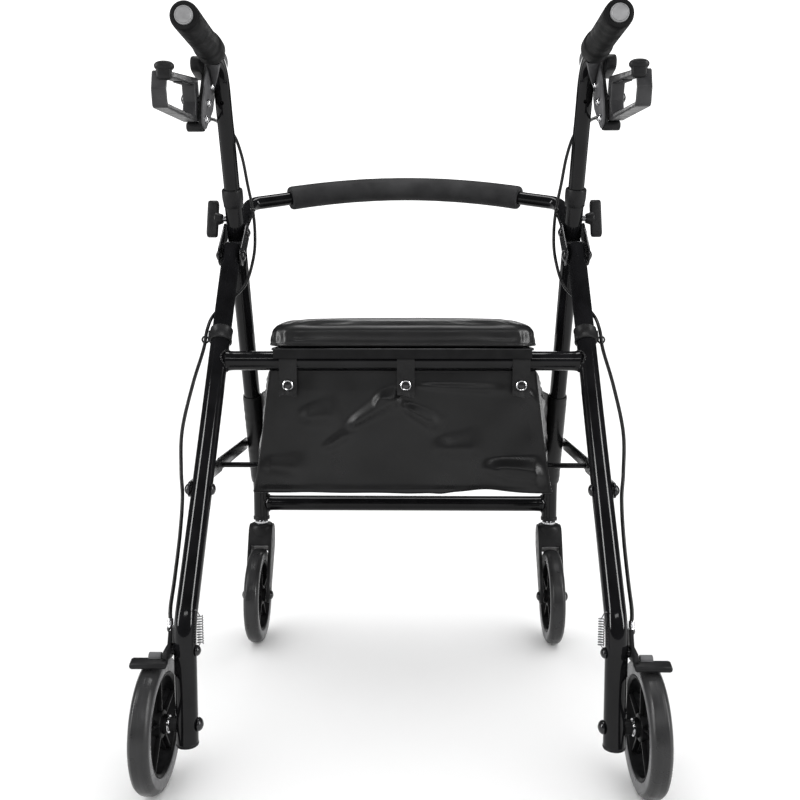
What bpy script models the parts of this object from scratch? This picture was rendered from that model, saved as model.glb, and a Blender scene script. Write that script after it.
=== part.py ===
"""A folding four-wheeled walker (rollator) with a seat, a pouch, a padded back bar and hand brakes.

The frame stands on Z = 0 with its origin under the middle of its box. +Y is the way the walker rolls
forward and +X is the user's right. Every piece is made in metres. The two side frames mirror each
other across X = 0, so most functions take side = -1 for the left and +1 for the right.
"""

import math

import bmesh
import bpy
from mathutils import Matrix, Vector

# Driving dimensions
TUBE_R = 0.0127  # 25.4 mm frame tube
POST_R = 0.0111  # 22.2 mm handle tube
BACK_TUBE_R = 0.0100
CROSSBAR_R = 0.0127
HINGE_BAR_R = 0.0110
ROD_R = 0.0038
CABLE_R = 0.0025
GAP = 0.0003  # clearance between pieces that touch
SIDE_X = 0.243  # the plane of each side frame
WHEEL_R = 0.0762
WHEELBASE = 0.469
WHEEL_HALF = 0.0120
TYRE_INNER_R = 0.0575
REAR_WHEEL_X = 0.278
REAR_AXLE_Y = -WHEELBASE / 2
CASTER_AXLE_Y = WHEELBASE / 2
CASTER_TRAIL = 0.0445
STEM_Y = CASTER_AXLE_Y + CASTER_TRAIL
FRONT_LEAN = math.radians(23.25)  # the handle end of the front tube leans towards the user
COLLAR_Y, COLLAR_Z = 0.0775, 0.717  # top of the height collar, on the front tube's axis
LEG_BOTTOM_Z = 0.1998
PIVOT_Y, PIVOT_Z = 0.0635, 0.623  # where the rear leg turns on the fold bracket
REAR_BEND_Z = 0.190
REAR_LEG_BOTTOM_Z = 0.052
REAR_CROSSBAR_Z = 0.480
FRONT_CROSSBAR_Z = 0.222
HINGE_BAR_Z = 0.466
SEAT_AXIS_Z = 0.4856
LINK_Z = 0.329
MID_HINGE_Y = 0.0365
GRIP_Z = 0.8745
GRIP_BACK_Y, GRIP_FRONT_Y = -0.1765, -0.0345
BOLT_R = 0.0040
SIDES = 16  # sides of a frame tube
WHEEL_STEPS = 32

UP_POST = Vector((0, -math.sin(FRONT_LEAN), math.cos(FRONT_LEAN)))

for old in list(bpy.data.objects):
    bpy.data.objects.remove(old, do_unlink=True)

parts = bpy.data.collections.new("rollator_walker")
cutters = bpy.data.collections.new("cutters")
cutters.hide_render = True
bpy.context.scene.collection.children.link(parts)
bpy.context.scene.collection.children.link(cutters)


def side_name(base, side):
    return f"{base}_{'right' if side > 0 else 'left'}"


def front_y(z):
    """Y of the front tube's axis at height z."""
    return COLLAR_Y + math.tan(FRONT_LEAN) * (COLLAR_Z - z)


def rear_y(z):
    """Y of the straight upper part of the rear leg's axis at height z."""
    slope = (PIVOT_Y - REAR_AXLE_Y) / (PIVOT_Z - REAR_BEND_Z)
    return PIVOT_Y - slope * (PIVOT_Z - z)


def on_post(side, along):
    """A point on the axis of the front tube and handle post, measured up from the collar's top."""
    return Vector((side * SIDE_X, COLLAR_Y, COLLAR_Z)) + UP_POST * along


# Materials


def material(name, colour, roughness, metallic=0.0):
    made = bpy.data.materials.new(name)
    made.use_nodes = True
    shader = made.node_tree.nodes["Principled BSDF"]
    shader.inputs["Base Color"].default_value = (*colour, 1)
    shader.inputs["Roughness"].default_value = roughness
    shader.inputs["Metallic"].default_value = metallic
    return made


PAINT = material("gloss_black_paint", (0.012, 0.012, 0.013), 0.18)
STEEL = material("black_zinc_steel", (0.05, 0.05, 0.055), 0.30, 1.0)
CHROME = material("chrome", (0.75, 0.75, 0.76), 0.12, 1.0)
RUBBER = material("tyre_rubber", (0.07, 0.07, 0.072), 0.55)
WHEEL_PLASTIC = material("wheel_plastic", (0.015, 0.015, 0.016), 0.40)
GRIP_RUBBER = material("grip_rubber", (0.022, 0.022, 0.023), 0.60)
PLASTIC = material("dark_grey_plastic", (0.045, 0.045, 0.048), 0.42)
LEVER = material("lever_metal", (0.06, 0.06, 0.063), 0.28, 1.0)
PLUG = material("grey_end_plug", (0.35, 0.35, 0.36), 0.35)
FOAM = material("black_foam", (0.025, 0.025, 0.026), 0.80)
VINYL = material("black_vinyl", (0.014, 0.014, 0.015), 0.32)
FABRIC = material("coated_fabric", (0.016, 0.016, 0.017), 0.38)
JACKET = material("cable_jacket", (0.012, 0.012, 0.012), 0.35)


# Shape helpers


def add(name, data, finish=None, collection=parts):
    made = bpy.data.objects.new(name, data)
    collection.objects.link(made)
    if finish:
        data.materials.append(finish)
    if collection is cutters:
        made.hide_render = True
        made.display_type = "WIRE"
    return made


def from_bmesh(name, shape, finish=None, collection=parts):
    mesh = bpy.data.meshes.new(name)
    shape.to_mesh(mesh)
    shape.free()
    mesh.shade_smooth()
    mesh.set_sharp_from_angle(angle=math.radians(40))
    return add(name, mesh, finish, collection)


def fillet(points, radius, steps=6, closed=False):
    """The points with each inner corner replaced by an arc of the radius, tangent to both its sides."""
    points = [Vector(p) for p in points]
    count = len(points)
    made = []
    for i, corner in enumerate(points):
        if not closed and i in (0, count - 1):
            made.append(corner)
            continue
        back = (points[i - 1] - corner).normalized()
        ahead = (points[(i + 1) % count] - corner).normalized()
        half = back.angle(ahead) / 2
        setback = radius / math.tan(half)
        centre = corner + (back + ahead).normalized() * (radius / math.sin(half))
        first = corner + back * setback - centre
        last = corner + ahead * setback - centre
        turn = first.angle(last)
        for step in range(steps + 1):
            t = step / steps
            arm = first * math.sin(turn * (1 - t)) + last * math.sin(turn * t)
            made.append(centre + arm / math.sin(turn))
    return made


def smooth_through(points, spacing):
    """Points about spacing apart on a Catmull-Rom curve through the given points."""
    points = [Vector(p) for p in points]
    ends = [2 * points[0] - points[1], *points, 2 * points[-1] - points[-2]]
    made = []
    for a, b, c, d in zip(ends, ends[1:], ends[2:], ends[3:]):
        steps = max(1, round((c - b).length / spacing))
        for step in range(steps):
            t = step / steps
            made.append(
                0.5 * (2 * b + (c - a) * t + (2 * a - 5 * b + 4 * c - d) * t**2
                       + (3 * b - a - 3 * c + d) * t**3)
            )
    return [*made, points[-1]]


def tube(name, points, radius, finish=None, sides=SIDES, collection=parts):
    curve = bpy.data.curves.new(name, "CURVE")
    curve.dimensions = "3D"
    curve.bevel_depth = radius
    curve.bevel_resolution = sides // 2 - 2
    curve.use_fill_caps = True
    spline = curve.splines.new("POLY")
    spline.points.add(len(points) - 1)
    for place, point in zip(spline.points, points):
        place.co = (*point, 1)
    return add(name, curve, finish, collection)


def plate(name, loops, thickness, centre_x, finish=None, collection=parts):
    """A flat piece in a Y-Z plane: its outline and any holes as (y, z) loops, about X = centre_x."""
    curve = bpy.data.curves.new(name, "CURVE")
    curve.dimensions = "2D"
    curve.fill_mode = "BOTH"
    curve.extrude = thickness / 2
    for loop in loops:
        spline = curve.splines.new("POLY")
        spline.points.add(len(loop) - 1)
        for place, (y, z) in zip(spline.points, loop):
            place.co = (y, z, 0, 1)
        spline.use_cyclic_u = True
    made = add(name, curve, finish, collection)
    across = Matrix(((0, 0, 1), (1, 0, 0), (0, 1, 0))).to_4x4()
    made.matrix_world = Matrix.Translation((centre_x, 0, 0)) @ across
    return made


def meshed(obj):
    """The object as a plain mesh object of the same name, with its caps welded."""
    bpy.context.view_layer.update()
    graph = bpy.context.evaluated_depsgraph_get()
    mesh = bpy.data.meshes.new_from_object(obj.evaluated_get(graph))
    shape = bmesh.new()
    shape.from_mesh(mesh)
    bmesh.ops.remove_doubles(shape, verts=shape.verts, dist=1e-6)
    bmesh.ops.recalc_face_normals(shape, faces=shape.faces)
    shape.to_mesh(mesh)
    shape.free()
    place = obj.matrix_world.copy()
    name = obj.name
    home = obj.users_collection[0]
    bpy.data.objects.remove(obj, do_unlink=True)
    made = add(name, mesh, None, home)
    made.matrix_world = place
    return made


def circle(y, z, radius, count=12):
    """(y, z) points round a circle."""
    return [
        (y + radius * math.cos(math.tau * i / count), z + radius * math.sin(math.tau * i / count))
        for i in range(count)
    ]


def hull(name, points, finish=None, collection=parts):
    """The smallest convex solid round the points."""
    shape = bmesh.new()
    for point in points:
        shape.verts.new(point)
    made = bmesh.ops.convex_hull(shape, input=shape.verts)
    loose = [item for item in made["geom_interior"] if isinstance(item, bmesh.types.BMVert)]
    bmesh.ops.delete(shape, geom=loose, context="VERTS")
    bmesh.ops.dissolve_limit(shape, angle_limit=0.01, verts=shape.verts, edges=shape.edges)
    bmesh.ops.recalc_face_normals(shape, faces=shape.faces)
    return from_bmesh(name, shape, finish, collection)


def slab(name, circles, x_low, x_high, finish=None, collection=parts, count=12):
    """A flat convex piece across X: the hull of (y, z, radius) circles."""
    outline = [p for y, z, radius in circles for p in circle(y, z, radius, count)]
    points = [(x, y, z) for x in sorted((x_low, x_high)) for y, z in outline]
    return hull(name, points, finish, collection)


def block(name, low, high, finish=None, collection=parts):
    """A box between two corners."""
    low, high = Vector(low), Vector(high)
    shape = bmesh.new()
    bmesh.ops.create_cube(shape, size=1)
    bmesh.ops.scale(shape, vec=high - low, verts=shape.verts)
    bmesh.ops.translate(shape, vec=(high + low) / 2, verts=shape.verts)
    return from_bmesh(name, shape, finish, collection)


def rod(name, start, end, radius, finish=None, sides=16, collection=parts):
    """A straight cylinder between two points."""
    start, end = Vector(start), Vector(end)
    shape = bmesh.new()
    bmesh.ops.create_cone(
        shape, cap_ends=True, segments=sides, radius1=radius, radius2=radius,
        depth=(end - start).length,
    )
    turn = (end - start).to_track_quat("Z", "Y").to_matrix()
    bmesh.ops.rotate(shape, matrix=turn, verts=shape.verts)
    bmesh.ops.translate(shape, vec=(start + end) / 2, verts=shape.verts)
    return from_bmesh(name, shape, finish, collection)


def turned(name, profile, place, finish=None, closed=False, steps=WHEEL_STEPS, axis=(1, 0, 0), collection=parts):
    """A profile of (radius, height) points turned about an axis through place.

    The points run down the outer side from the top. A closed profile is a ring.
    """
    mesh = bpy.data.meshes.new(name)
    edges = [(i, i + 1) for i in range(len(profile) - 1)]
    if closed:
        edges.append((len(profile) - 1, 0))
    mesh.from_pydata([(r, 0, h) for r, h in profile], edges, [])
    made = add(name, mesh, finish, collection)
    screw = made.modifiers.new("turn", "SCREW")
    screw.steps = steps
    screw.render_steps = steps
    screw.use_merge_vertices = True
    screw.merge_threshold = 0.00001
    screw.use_smooth_shade = True
    turn = Vector(axis).to_track_quat("Z", "Y").to_matrix().to_4x4()
    if tuple(axis) in ((1, 0, 0), (-1, 0, 0)):
        turn = Matrix.Rotation(math.radians(90 * axis[0]), 4, "Y")
    made.matrix_world = Matrix.Translation(place) @ turn
    return made


def combine(obj, other, operation):
    """Adds or cuts another object, which becomes a hidden helper."""
    if other.name in parts.objects:
        parts.objects.unlink(other)
        cutters.objects.link(other)
    other.hide_render = True
    other.display_type = "WIRE"
    change = obj.modifiers.new(operation.lower(), "BOOLEAN")
    change.operation = operation
    change.solver = "EXACT"
    change.object = other


def cut(obj, other):
    combine(obj, other, "DIFFERENCE")


def join(obj, other):
    combine(obj, other, "UNION")


def cross_hole(obj, x, y, z, radius=BOLT_R + GAP, reach=0.03):
    """A bolt hole along X through the object."""
    cutter = rod(f"{obj.name}_hole", (x - reach, y, z), (x + reach, y, z), radius, collection=cutters)
    cut(obj, cutter)


def dome_profile(radius, rise, top):
    """The outer side of a domed bolt head, from its crown down to its rim."""
    return [
        (radius * math.sin(a), top - rise * (1 - math.cos(a)))
        for a in (0, math.radians(35), math.radians(65), math.radians(90))
    ]


# Front frame


def front_leg(side):
    """The front tube: the handle post slides into its top, and the caster's stem turns in its foot."""
    name = side_name("front_leg", side)
    x = side * SIDE_X
    bend_z = COLLAR_Z - (STEM_Y - COLLAR_Y) / math.tan(FRONT_LEAN)
    path = fillet(
        [on_post(side, -0.0035), (x, STEM_Y, bend_z), (x, STEM_Y, LEG_BOTTOM_Z)], 0.06, steps=5
    )
    leg = meshed(tube(name, path, TUBE_R, PAINT))
    cut(leg, rod(name + "_bore", on_post(side, -0.235), on_post(side, 0.02), POST_R + GAP, sides=SIDES,
                 collection=cutters))
    cut(leg, rod(name + "_foot_bore", (x, STEM_Y, 0.15), (x, STEM_Y, 0.2285), 0.0105 + GAP,
                 collection=cutters))
    return leg


def stem_plug(side):
    """The bush in the foot of the front tube, where the caster's stem turns."""
    flange_r, body_r, hole_r = 0.0135, 0.0105, 0.0060 + GAP
    top, shoulder, bottom = 0.2280, LEG_BOTTOM_Z - GAP, 0.1945
    profile = [
        (body_r, top), (body_r, shoulder), (flange_r, shoulder), (flange_r, bottom),
        (hole_r, bottom), (hole_r, top),
    ]
    return turned(side_name("stem_plug", side), profile, (side * SIDE_X, STEM_Y, 0), PLASTIC,
                  closed=True, steps=SIDES, axis=(0, 0, 1))


def height_collar(side):
    """The plastic collar over the top of the front tube, round the handle post."""
    profile = [
        (0.0136, 0), (0.0146, -0.0015), (0.0146, -0.012), (0.0139, -0.0245),
        (TUBE_R + GAP, -0.0245), (TUBE_R + GAP, -0.0032), (POST_R + GAP, -0.0032), (POST_R + GAP, 0),
    ]
    return turned(side_name("height_collar", side), profile, on_post(side, 0), PLASTIC, closed=True,
                  steps=SIDES, axis=UP_POST)


def coped_bar(name, y, z, radius, leg_axis, clearance_r=TUBE_R + GAP):
    """A bar between the two side frames, its ends hollowed to sit against the legs."""
    bar = meshed(tube(name, [(-SIDE_X, y, z), (SIDE_X, y, z)], radius, PAINT))
    for side in (-1, 1):
        low, high = (Vector((side * SIDE_X, *end)) for end in leg_axis)
        cut(bar, rod(side_name(name + "_cope", side), low, high, clearance_r, sides=SIDES,
                     collection=cutters))
    return bar


def seat_hinge_bar():
    """The bar under the front of the seat, with the ears that the seat turns on."""
    low, high = 0.40, 0.53
    bar = coped_bar("seat_hinge_bar", front_y(HINGE_BAR_Z), HINGE_BAR_Z, HINGE_BAR_R,
                    ((front_y(low), low), (front_y(high), high)))
    y = front_y(HINGE_BAR_Z)
    for side in (-1, 1):
        ear = slab(side_name("seat_ear", side), [(y, HINGE_BAR_Z, 0.008), (y, SEAT_AXIS_Z, 0.0055)],
                   side * 0.1500, side * 0.1530)
        join(bar, ear)
    return bar


def fold_bracket(side):
    """Two plates on the front tube, held apart by a pin, that carry the rear leg's pivot."""
    name = side_name("fold_bracket", side)
    x = side * SIDE_X
    near, far = 0.0145, 0.0165
    bolt_y, bolt_z = front_y(0.658), 0.658
    outline = [(PIVOT_Y, PIVOT_Z, 0.0145), (bolt_y, bolt_z, 0.0135)]
    bracket = slab(name, outline, x - far, x - near, STEEL)
    join(bracket, slab(name + "_outer", outline, x + near, x + far))
    middle_y, middle_z = (PIVOT_Y + bolt_y) / 2, (PIVOT_Z + bolt_z) / 2
    join(bracket, rod(name + "_pin", (x - far + 0.001, middle_y, middle_z),
                      (x + far - 0.001, middle_y, middle_z), 0.0035, sides=12))
    for way in (-1, 1):
        head = turned(f"{name}_head{way}", [*dome_profile(0.0070, 0.0035, 0.0200), (0.0070, 0.0155), (0, 0.0155)],
                      (x, bolt_y, bolt_z), steps=16, axis=(way, 0, 0))
        join(bracket, meshed(head))
    cross_hole(bracket, x, PIVOT_Y, PIVOT_Z)
    return bracket


def double_bolt(name, place, heads, shaft_r, finish, shoulders=(), steps=12):
    """A bolt along X with a domed head on each end. Heads and shoulders are (inner face, outer face, radius)."""
    (low_face, low_end, low_r), (high_face, high_end, high_r) = heads
    outer = [(r, high_end - (high_end - high_face) * (1 - math.cos(a))) for r, a in
             ((high_r * math.sin(math.radians(d)), math.radians(d)) for d in (0, 35, 65, 90))]
    profile = [*outer, (high_r, high_face), (shaft_r, high_face)]
    profile = [p for i, p in enumerate(profile) if i == 0 or (Vector(p) - Vector(profile[i - 1])).length > 1e-6]
    for low, high, radius in shoulders:
        profile += [(shaft_r, high), (radius, high), (radius, low), (shaft_r, low)]
    profile += [(shaft_r, low_face), (low_r, low_face)]
    profile += [(low_r * math.sin(math.radians(d)), low_end + (low_face - low_end) * (1 - math.cos(math.radians(d))))
                for d in (65, 35, 0)]
    return turned(name, profile, place, finish, steps=steps, axis=(1, 0, 0))


def pivot_bolt(side):
    """The bolt through the fold bracket that the rear leg turns on."""
    face, end, head_r = 0.0168, 0.0210, 0.0075
    return double_bolt(side_name("pivot_bolt", side), (side * SIDE_X, PIVOT_Y, PIVOT_Z),
                       ((-face, -end, head_r), (face, end, head_r)), BOLT_R, STEEL)


BACK_BAR_Z = 0.7405
BACK_CORNER = Vector((0.2370, 0.1850, 0.7090))
BACK_END = Vector((0.2400, 0.1035, 0.6560))
BACK_BOW_Y = 0.2600
FOAM_HALF = 0.1790


def back_bar_path():
    """The back bar's axis from the left tube, round its two corners and the long bow, to the right tube."""
    corner, end = BACK_CORNER, BACK_END
    bow = []
    steps = 10
    for step in range(steps + 1):
        t = 2 * step / steps - 1
        x = t * (corner.x - 0.022)
        rise = 1 - t * t
        bow.append(Vector((x, corner.y + 0.010 + (BACK_BOW_Y - corner.y - 0.010) * rise,
                           corner.z + 0.003 + (BACK_BAR_Z - corner.z - 0.003) * rise)))
    right = fillet([bow[-2], Vector((corner.x, corner.y + 0.003, corner.z)), end], 0.024, steps=5)[1:]
    left = [Vector((-p.x, p.y, p.z)) for p in reversed(right)]
    return [*left, *bow[1:-1], *right]


def back_bar():
    bar = meshed(tube("back_bar", back_bar_path(), BACK_TUBE_R, PAINT, sides=12))
    for side in (-1, 1):
        cut(bar, rod(side_name("back_bar_cope", side), on_post(side, -0.15), on_post(side, 0.01),
                     TUBE_R + GAP, sides=SIDES, collection=cutters))
    return bar


def back_foam():
    """The foam sleeve on the bowed part of the back bar."""
    path = back_bar_path()
    inside = [p for p in path if abs(p.x) < FOAM_HALF]
    crossing = []
    for a, b in ((path[path.index(inside[0]) - 1], inside[0]), (path[path.index(inside[-1]) + 1], inside[-1])):
        t = (FOAM_HALF - abs(b.x)) / (abs(a.x) - abs(b.x))
        crossing.append(b.lerp(a, t))
    foam = meshed(tube("back_foam", [crossing[0], *inside, crossing[1]], 0.0178, FOAM, sides=12))
    core = meshed(tube("back_foam_core", path, BACK_TUBE_R + GAP, sides=12, collection=cutters))
    cut(foam, core)
    return foam


def storage_pouch():
    """The open-topped bag between the crossbar and the front tubes, with a sleeve round each tube."""
    wall = 0.0026
    rear = -0.0400
    top, front_top, bottom = 0.4630, 0.4120, 0.3050
    rear_x, front_top_x = 0.1860, 0.2290
    splay = (front_top_x - rear_x) / (front_y(front_top) - rear)

    def corners(inset, reach):
        """The bag's corners, moved in by inset, with the open top carried on past its edge by reach."""
        made = []
        for side in (-1, 1):
            for y_of, top_z in (
                (lambda z: rear + inset, top),
                (lambda z: front_y(z) - inset, front_top),
            ):
                ends = []
                for z in (bottom + inset, top_z):
                    y = y_of(z)
                    across = rear_x + splay * (y - rear) - inset * math.hypot(1, splay)
                    ends.append(Vector((side * across, y, z)))
                low, high = ends
                made += [low, low + (high - low) * reach]
        return made

    bag = hull("storage_pouch", corners(0, 1), FABRIC)
    cut(bag, hull("pouch_inside", corners(wall, 1.2), collection=cutters))
    low, high = 0.2640, 0.4120
    for side in (-1, 1):
        x = side * SIDE_X
        join(bag, rod(side_name("pouch_sleeve", side), (x, front_y(low), low), (x, front_y(high), high),
                      0.0152, sides=SIDES))
    for side in (-1, 1):
        x = side * SIDE_X
        cut(bag, rod(side_name("pouch_sleeve_bore", side), (x, front_y(low - 0.05), low - 0.05),
                     (x, front_y(high + 0.05), high + 0.05), TUBE_R + GAP, sides=SIDES, collection=cutters))
    cut(bag, rod("pouch_rod_hole", (-0.25, MID_HINGE_Y, LINK_Z), (0.25, MID_HINGE_Y, LINK_Z), ROD_R + 0.002,
                 sides=12, collection=cutters))
    return bag


# Rear frame


def rear_leg(side):
    name = side_name("rear_leg", side)
    x = side * SIDE_X
    along = Vector((0, PIVOT_Y - REAR_AXLE_Y, PIVOT_Z - REAR_BEND_Z)).normalized()
    top = Vector((x, PIVOT_Y, PIVOT_Z)) + along * 0.0135
    path = fillet([top, (x, REAR_AXLE_Y, REAR_BEND_Z), (x, REAR_AXLE_Y, REAR_LEG_BOTTOM_Z)], 0.07, steps=6)
    leg = meshed(tube(name, path, TUBE_R, PAINT))
    cross_hole(leg, x, PIVOT_Y, PIVOT_Z)
    cross_hole(leg, x, REAR_AXLE_Y, WHEEL_R)
    return leg


def cable_clip(side):
    """The plastic ring on the rear leg that holds the brake cable."""
    name = side_name("cable_clip", side)
    z = 0.512
    centre = Vector((side * SIDE_X, rear_y(z), z))
    along = Vector((0, rear_y(1) - rear_y(0), 1)).normalized()
    half = 0.010
    ring = rod(name, centre - along * half, centre + along * half, 0.0150, PLASTIC, sides=SIDES)
    join(ring, slab(name + "_nub", [(centre.y, z, 0.006)], side * 0.2560, side * 0.2588))
    cut(ring, rod(name + "_bore", centre - along * 0.02, centre + along * 0.02, TUBE_R + GAP, sides=SIDES,
                  collection=cutters))
    return ring


def rear_axle(side):
    """The axle bolt: a domed head inside the leg, a spacer between leg and hub, and a nut outside the hub."""
    centre = REAR_WHEEL_X
    hub = 0.0133
    head_face = SIDE_X - TUBE_R - GAP - centre
    spacer = (SIDE_X + TUBE_R + GAP - centre, -hub - GAP, 0.0080)
    nut_face = hub + GAP
    axle = double_bolt(side_name("rear_axle", side), (side * centre, REAR_AXLE_Y, WHEEL_R),
                       ((head_face, head_face - 0.0045, 0.0075), (nut_face, nut_face + 0.0040, 0.0070)),
                       BOLT_R, CHROME, shoulders=(spacer,))
    if side < 0:
        axle.matrix_world = (Matrix.Translation((-centre, REAR_AXLE_Y, WHEEL_R))
                             @ Matrix.Rotation(math.radians(-90), 4, "Y"))
    return axle


def brake_spring(side):
    """The return spring beside the rear leg, as the cylinder round its coils."""
    x = side * 0.2255
    return rod(side_name("brake_spring", side), (x, REAR_AXLE_Y, 0.1690), (x, REAR_AXLE_Y, 0.2060), 0.0040,
               CHROME, sides=12)


# Wheels


def wheel_tyre(name, place):
    half, radius, edge = WHEEL_HALF, WHEEL_R, 0.0050
    profile = [
        (TYRE_INNER_R, half - 0.0012), (radius - 0.010, half), (radius - edge * 0.45, half - edge * 0.75),
        (radius, half - edge * 1.5), (radius, -half + edge * 1.5),
        (radius - edge * 0.45, -half + edge * 0.75), (radius - 0.010, -half), (TYRE_INNER_R, -half + 0.0012),
    ]
    return turned(name, profile, place, RUBBER, closed=True)


def wheel_rim_mesh():
    """A moulded rim: an outer ring, five spokes and a bored hub, about the X axis."""
    outer, inner, half = TYRE_INNER_R - GAP, 0.0500, 0.0105
    ring = meshed(turned("rim", [(outer, half), (outer, -half), (inner, -half), (inner, half)], (0, 0, 0),
                         WHEEL_PLASTIC, closed=True))
    spokes = 5
    for i in range(spokes):
        turn = math.tau * i / spokes + math.radians(90)
        y, z = math.cos(turn), math.sin(turn)
        join(ring, slab(f"spoke{i}", [(0.006 * y, 0.006 * z, 0.0070), (0.0510 * y, 0.0510 * z, 0.0045)],
                        -0.0045, 0.0045, count=8))
    join(ring, rod("hub", (-0.0133, 0, 0), (0.0133, 0, 0), 0.0130, sides=SIDES, collection=cutters))
    cut(ring, rod("hub_bore", (-0.02, 0, 0), (0.02, 0, 0), BOLT_R + GAP, collection=cutters))
    ring = meshed(ring)
    mesh = ring.data
    mesh.transform(ring.matrix_world)
    bpy.data.objects.remove(ring, do_unlink=True)
    return mesh


def wheel(prefix, side, place, rim_mesh):
    wheel_tyre(side_name(prefix + "_tyre", side), place)
    rim = add(side_name(prefix + "_rim", side), rim_mesh)
    rim.location = place


def caster_fork(side):
    """The fork: a crown on a stem, and an arm on each side of the wheel that trails back to the axle."""
    name = side_name("caster_fork", side)
    x = side * SIDE_X
    half = 0.0205
    crown_top = 0.1880
    fork = slab(name, [(STEM_Y, crown_top - 0.0300, 0.0190), (STEM_Y, crown_top - 0.0180, 0.0180),
                       (CASTER_AXLE_Y, WHEEL_R, 0.0130)], x - half, x + half, PLASTIC)
    cut(fork, rod(name + "_wheel_room", (x - 0.0146, CASTER_AXLE_Y, WHEEL_R),
                  (x + 0.0146, CASTER_AXLE_Y, WHEEL_R), WHEEL_R + 0.0040, sides=WHEEL_STEPS, collection=cutters))
    join(fork, rod(name + "_stem", (x, STEM_Y, crown_top - 0.02), (x, STEM_Y, 0.2260), 0.0060, sides=16))
    cross_hole(fork, x, CASTER_AXLE_Y, WHEEL_R)
    return fork


def caster_axle(side):
    face, end, head_r = 0.0208, 0.0260, 0.0080
    return double_bolt(side_name("caster_axle", side), (side * SIDE_X, CASTER_AXLE_Y, WHEEL_R),
                       ((-face, -end, head_r), (face, end, head_r)), BOLT_R, STEEL)


# Side links, which hold the frame open and fold upwards


LINK_HALF = 0.0095
REAR_LINK_X = (0.2565, 0.2590)
FRONT_LINK_X = (0.2594, 0.2619)


def front_link(side):
    return slab(side_name("front_link", side), [(front_y(LINK_Z), LINK_Z, LINK_HALF), (MID_HINGE_Y, LINK_Z, LINK_HALF)],
                side * FRONT_LINK_X[0], side * FRONT_LINK_X[1], STEEL)


def rear_link(side):
    return slab(side_name("rear_link", side), [(rear_y(LINK_Z), LINK_Z, LINK_HALF), (MID_HINGE_Y, LINK_Z, LINK_HALF)],
                side * REAR_LINK_X[0], side * REAR_LINK_X[1], STEEL)


def fold_rod():
    """The rod between the two links' middle hinges, which the user lifts to fold the frame."""
    end = REAR_LINK_X[0] - GAP
    return rod("fold_rod", (-end, MID_HINGE_Y, LINK_Z), (end, MID_HINGE_Y, LINK_Z), ROD_R, STEEL, sides=12)


# Seat


def seat_pan():
    """The steel sheet under the cushion, with two lugs that turn on the hinge bar's ears."""
    pan = block("seat_pan", (-0.1720, -0.0380, 0.4937), (0.1720, 0.2190, 0.4972), STEEL)
    y = front_y(HINGE_BAR_Z)
    for side in (-1, 1):
        join(pan, slab(side_name("seat_lug", side), [(y, SEAT_AXIS_Z, 0.0055), (y, 0.4940, 0.0024)],
                       side * 0.1534, side * 0.1564))
    return pan


def seat_cushion():
    cushion = block("seat_cushion", (-0.1780, -0.0445, 0.4976), (0.1780, 0.2255, 0.5350), VINYL)
    soft = cushion.modifiers.new("rounding", "BEVEL")
    soft.width = 0.0110
    soft.segments = 3
    return cushion


# Handles and brakes


def handle_path(side):
    """The handle post's line: up the leaning run, round the bend and back along the grip."""
    x = side * SIDE_X
    corner_along = (GRIP_Z - COLLAR_Z) / math.cos(FRONT_LEAN)
    corner = on_post(side, corner_along)
    return fillet([on_post(side, -0.170), corner, (x, GRIP_BACK_Y + 0.0070, GRIP_Z)], 0.060, steps=8)


def handle_post(side):
    return tube(side_name("handle_post", side), handle_path(side), POST_R, PAINT)


def grip(side):
    """The rubber grip on the level end of the post, with a thicker flange in front."""
    inner = POST_R + GAP
    length = GRIP_FRONT_Y - GRIP_BACK_Y
    profile = [
        (0.0150, length), (0.0172, length - 0.004), (0.0176, length - 0.012), (0.0160, length - 0.024),
        (0.0152, length * 0.5), (0.0158, 0.020), (0.0158, 0.004), (0.0140, 0), (inner, 0), (inner, length),
    ]
    return turned(side_name("grip", side), profile, (side * SIDE_X, GRIP_BACK_Y, GRIP_Z), GRIP_RUBBER,
                  closed=True, steps=SIDES, axis=(0, 1, 0))


def grip_plug(side):
    """The round plug in the open end of the post, seen at the end of the grip."""
    end = GRIP_BACK_Y + 0.0070 - GAP
    x = side * SIDE_X
    return rod(side_name("grip_plug", side), (x, GRIP_BACK_Y - 0.0008, GRIP_Z), (x, end, GRIP_Z), 0.0106, PLUG,
               sides=SIDES)


HOUSING_X = (0.2546, 0.2622)
LEVER_X = (0.2628, 0.2798)
LEVER_PIVOT = (-0.0330, 0.8150)  # y, z


def brake_housing(side):
    """The brake's body: a clamp round the post's bend, a cheek that hangs down from it, and a lug outside."""
    name = side_name("brake_housing", side)
    cheek = [(0.0060, 0.8640, 0.0115), (0.0200, 0.8330, 0.0070), (-0.0240, 0.8080, 0.0130), (-0.0280, 0.7920, 0.0130)]
    housing = slab(name, cheek, side * HOUSING_X[0], side * HOUSING_X[1], PLASTIC)
    lug = [(-0.0100, 0.8600, 0.0105), (0.0060, 0.8540, 0.0105)]
    join(housing, slab(name + "_lug", lug, side * (HOUSING_X[1] - 0.0010), side * 0.2700))
    bend = handle_path(side)
    join(housing, meshed(tube(name + "_clamp", bend[2:8], 0.0148)))
    cut(housing, meshed(tube(name + "_bore", bend, POST_R + GAP, collection=cutters)))
    return housing


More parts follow.
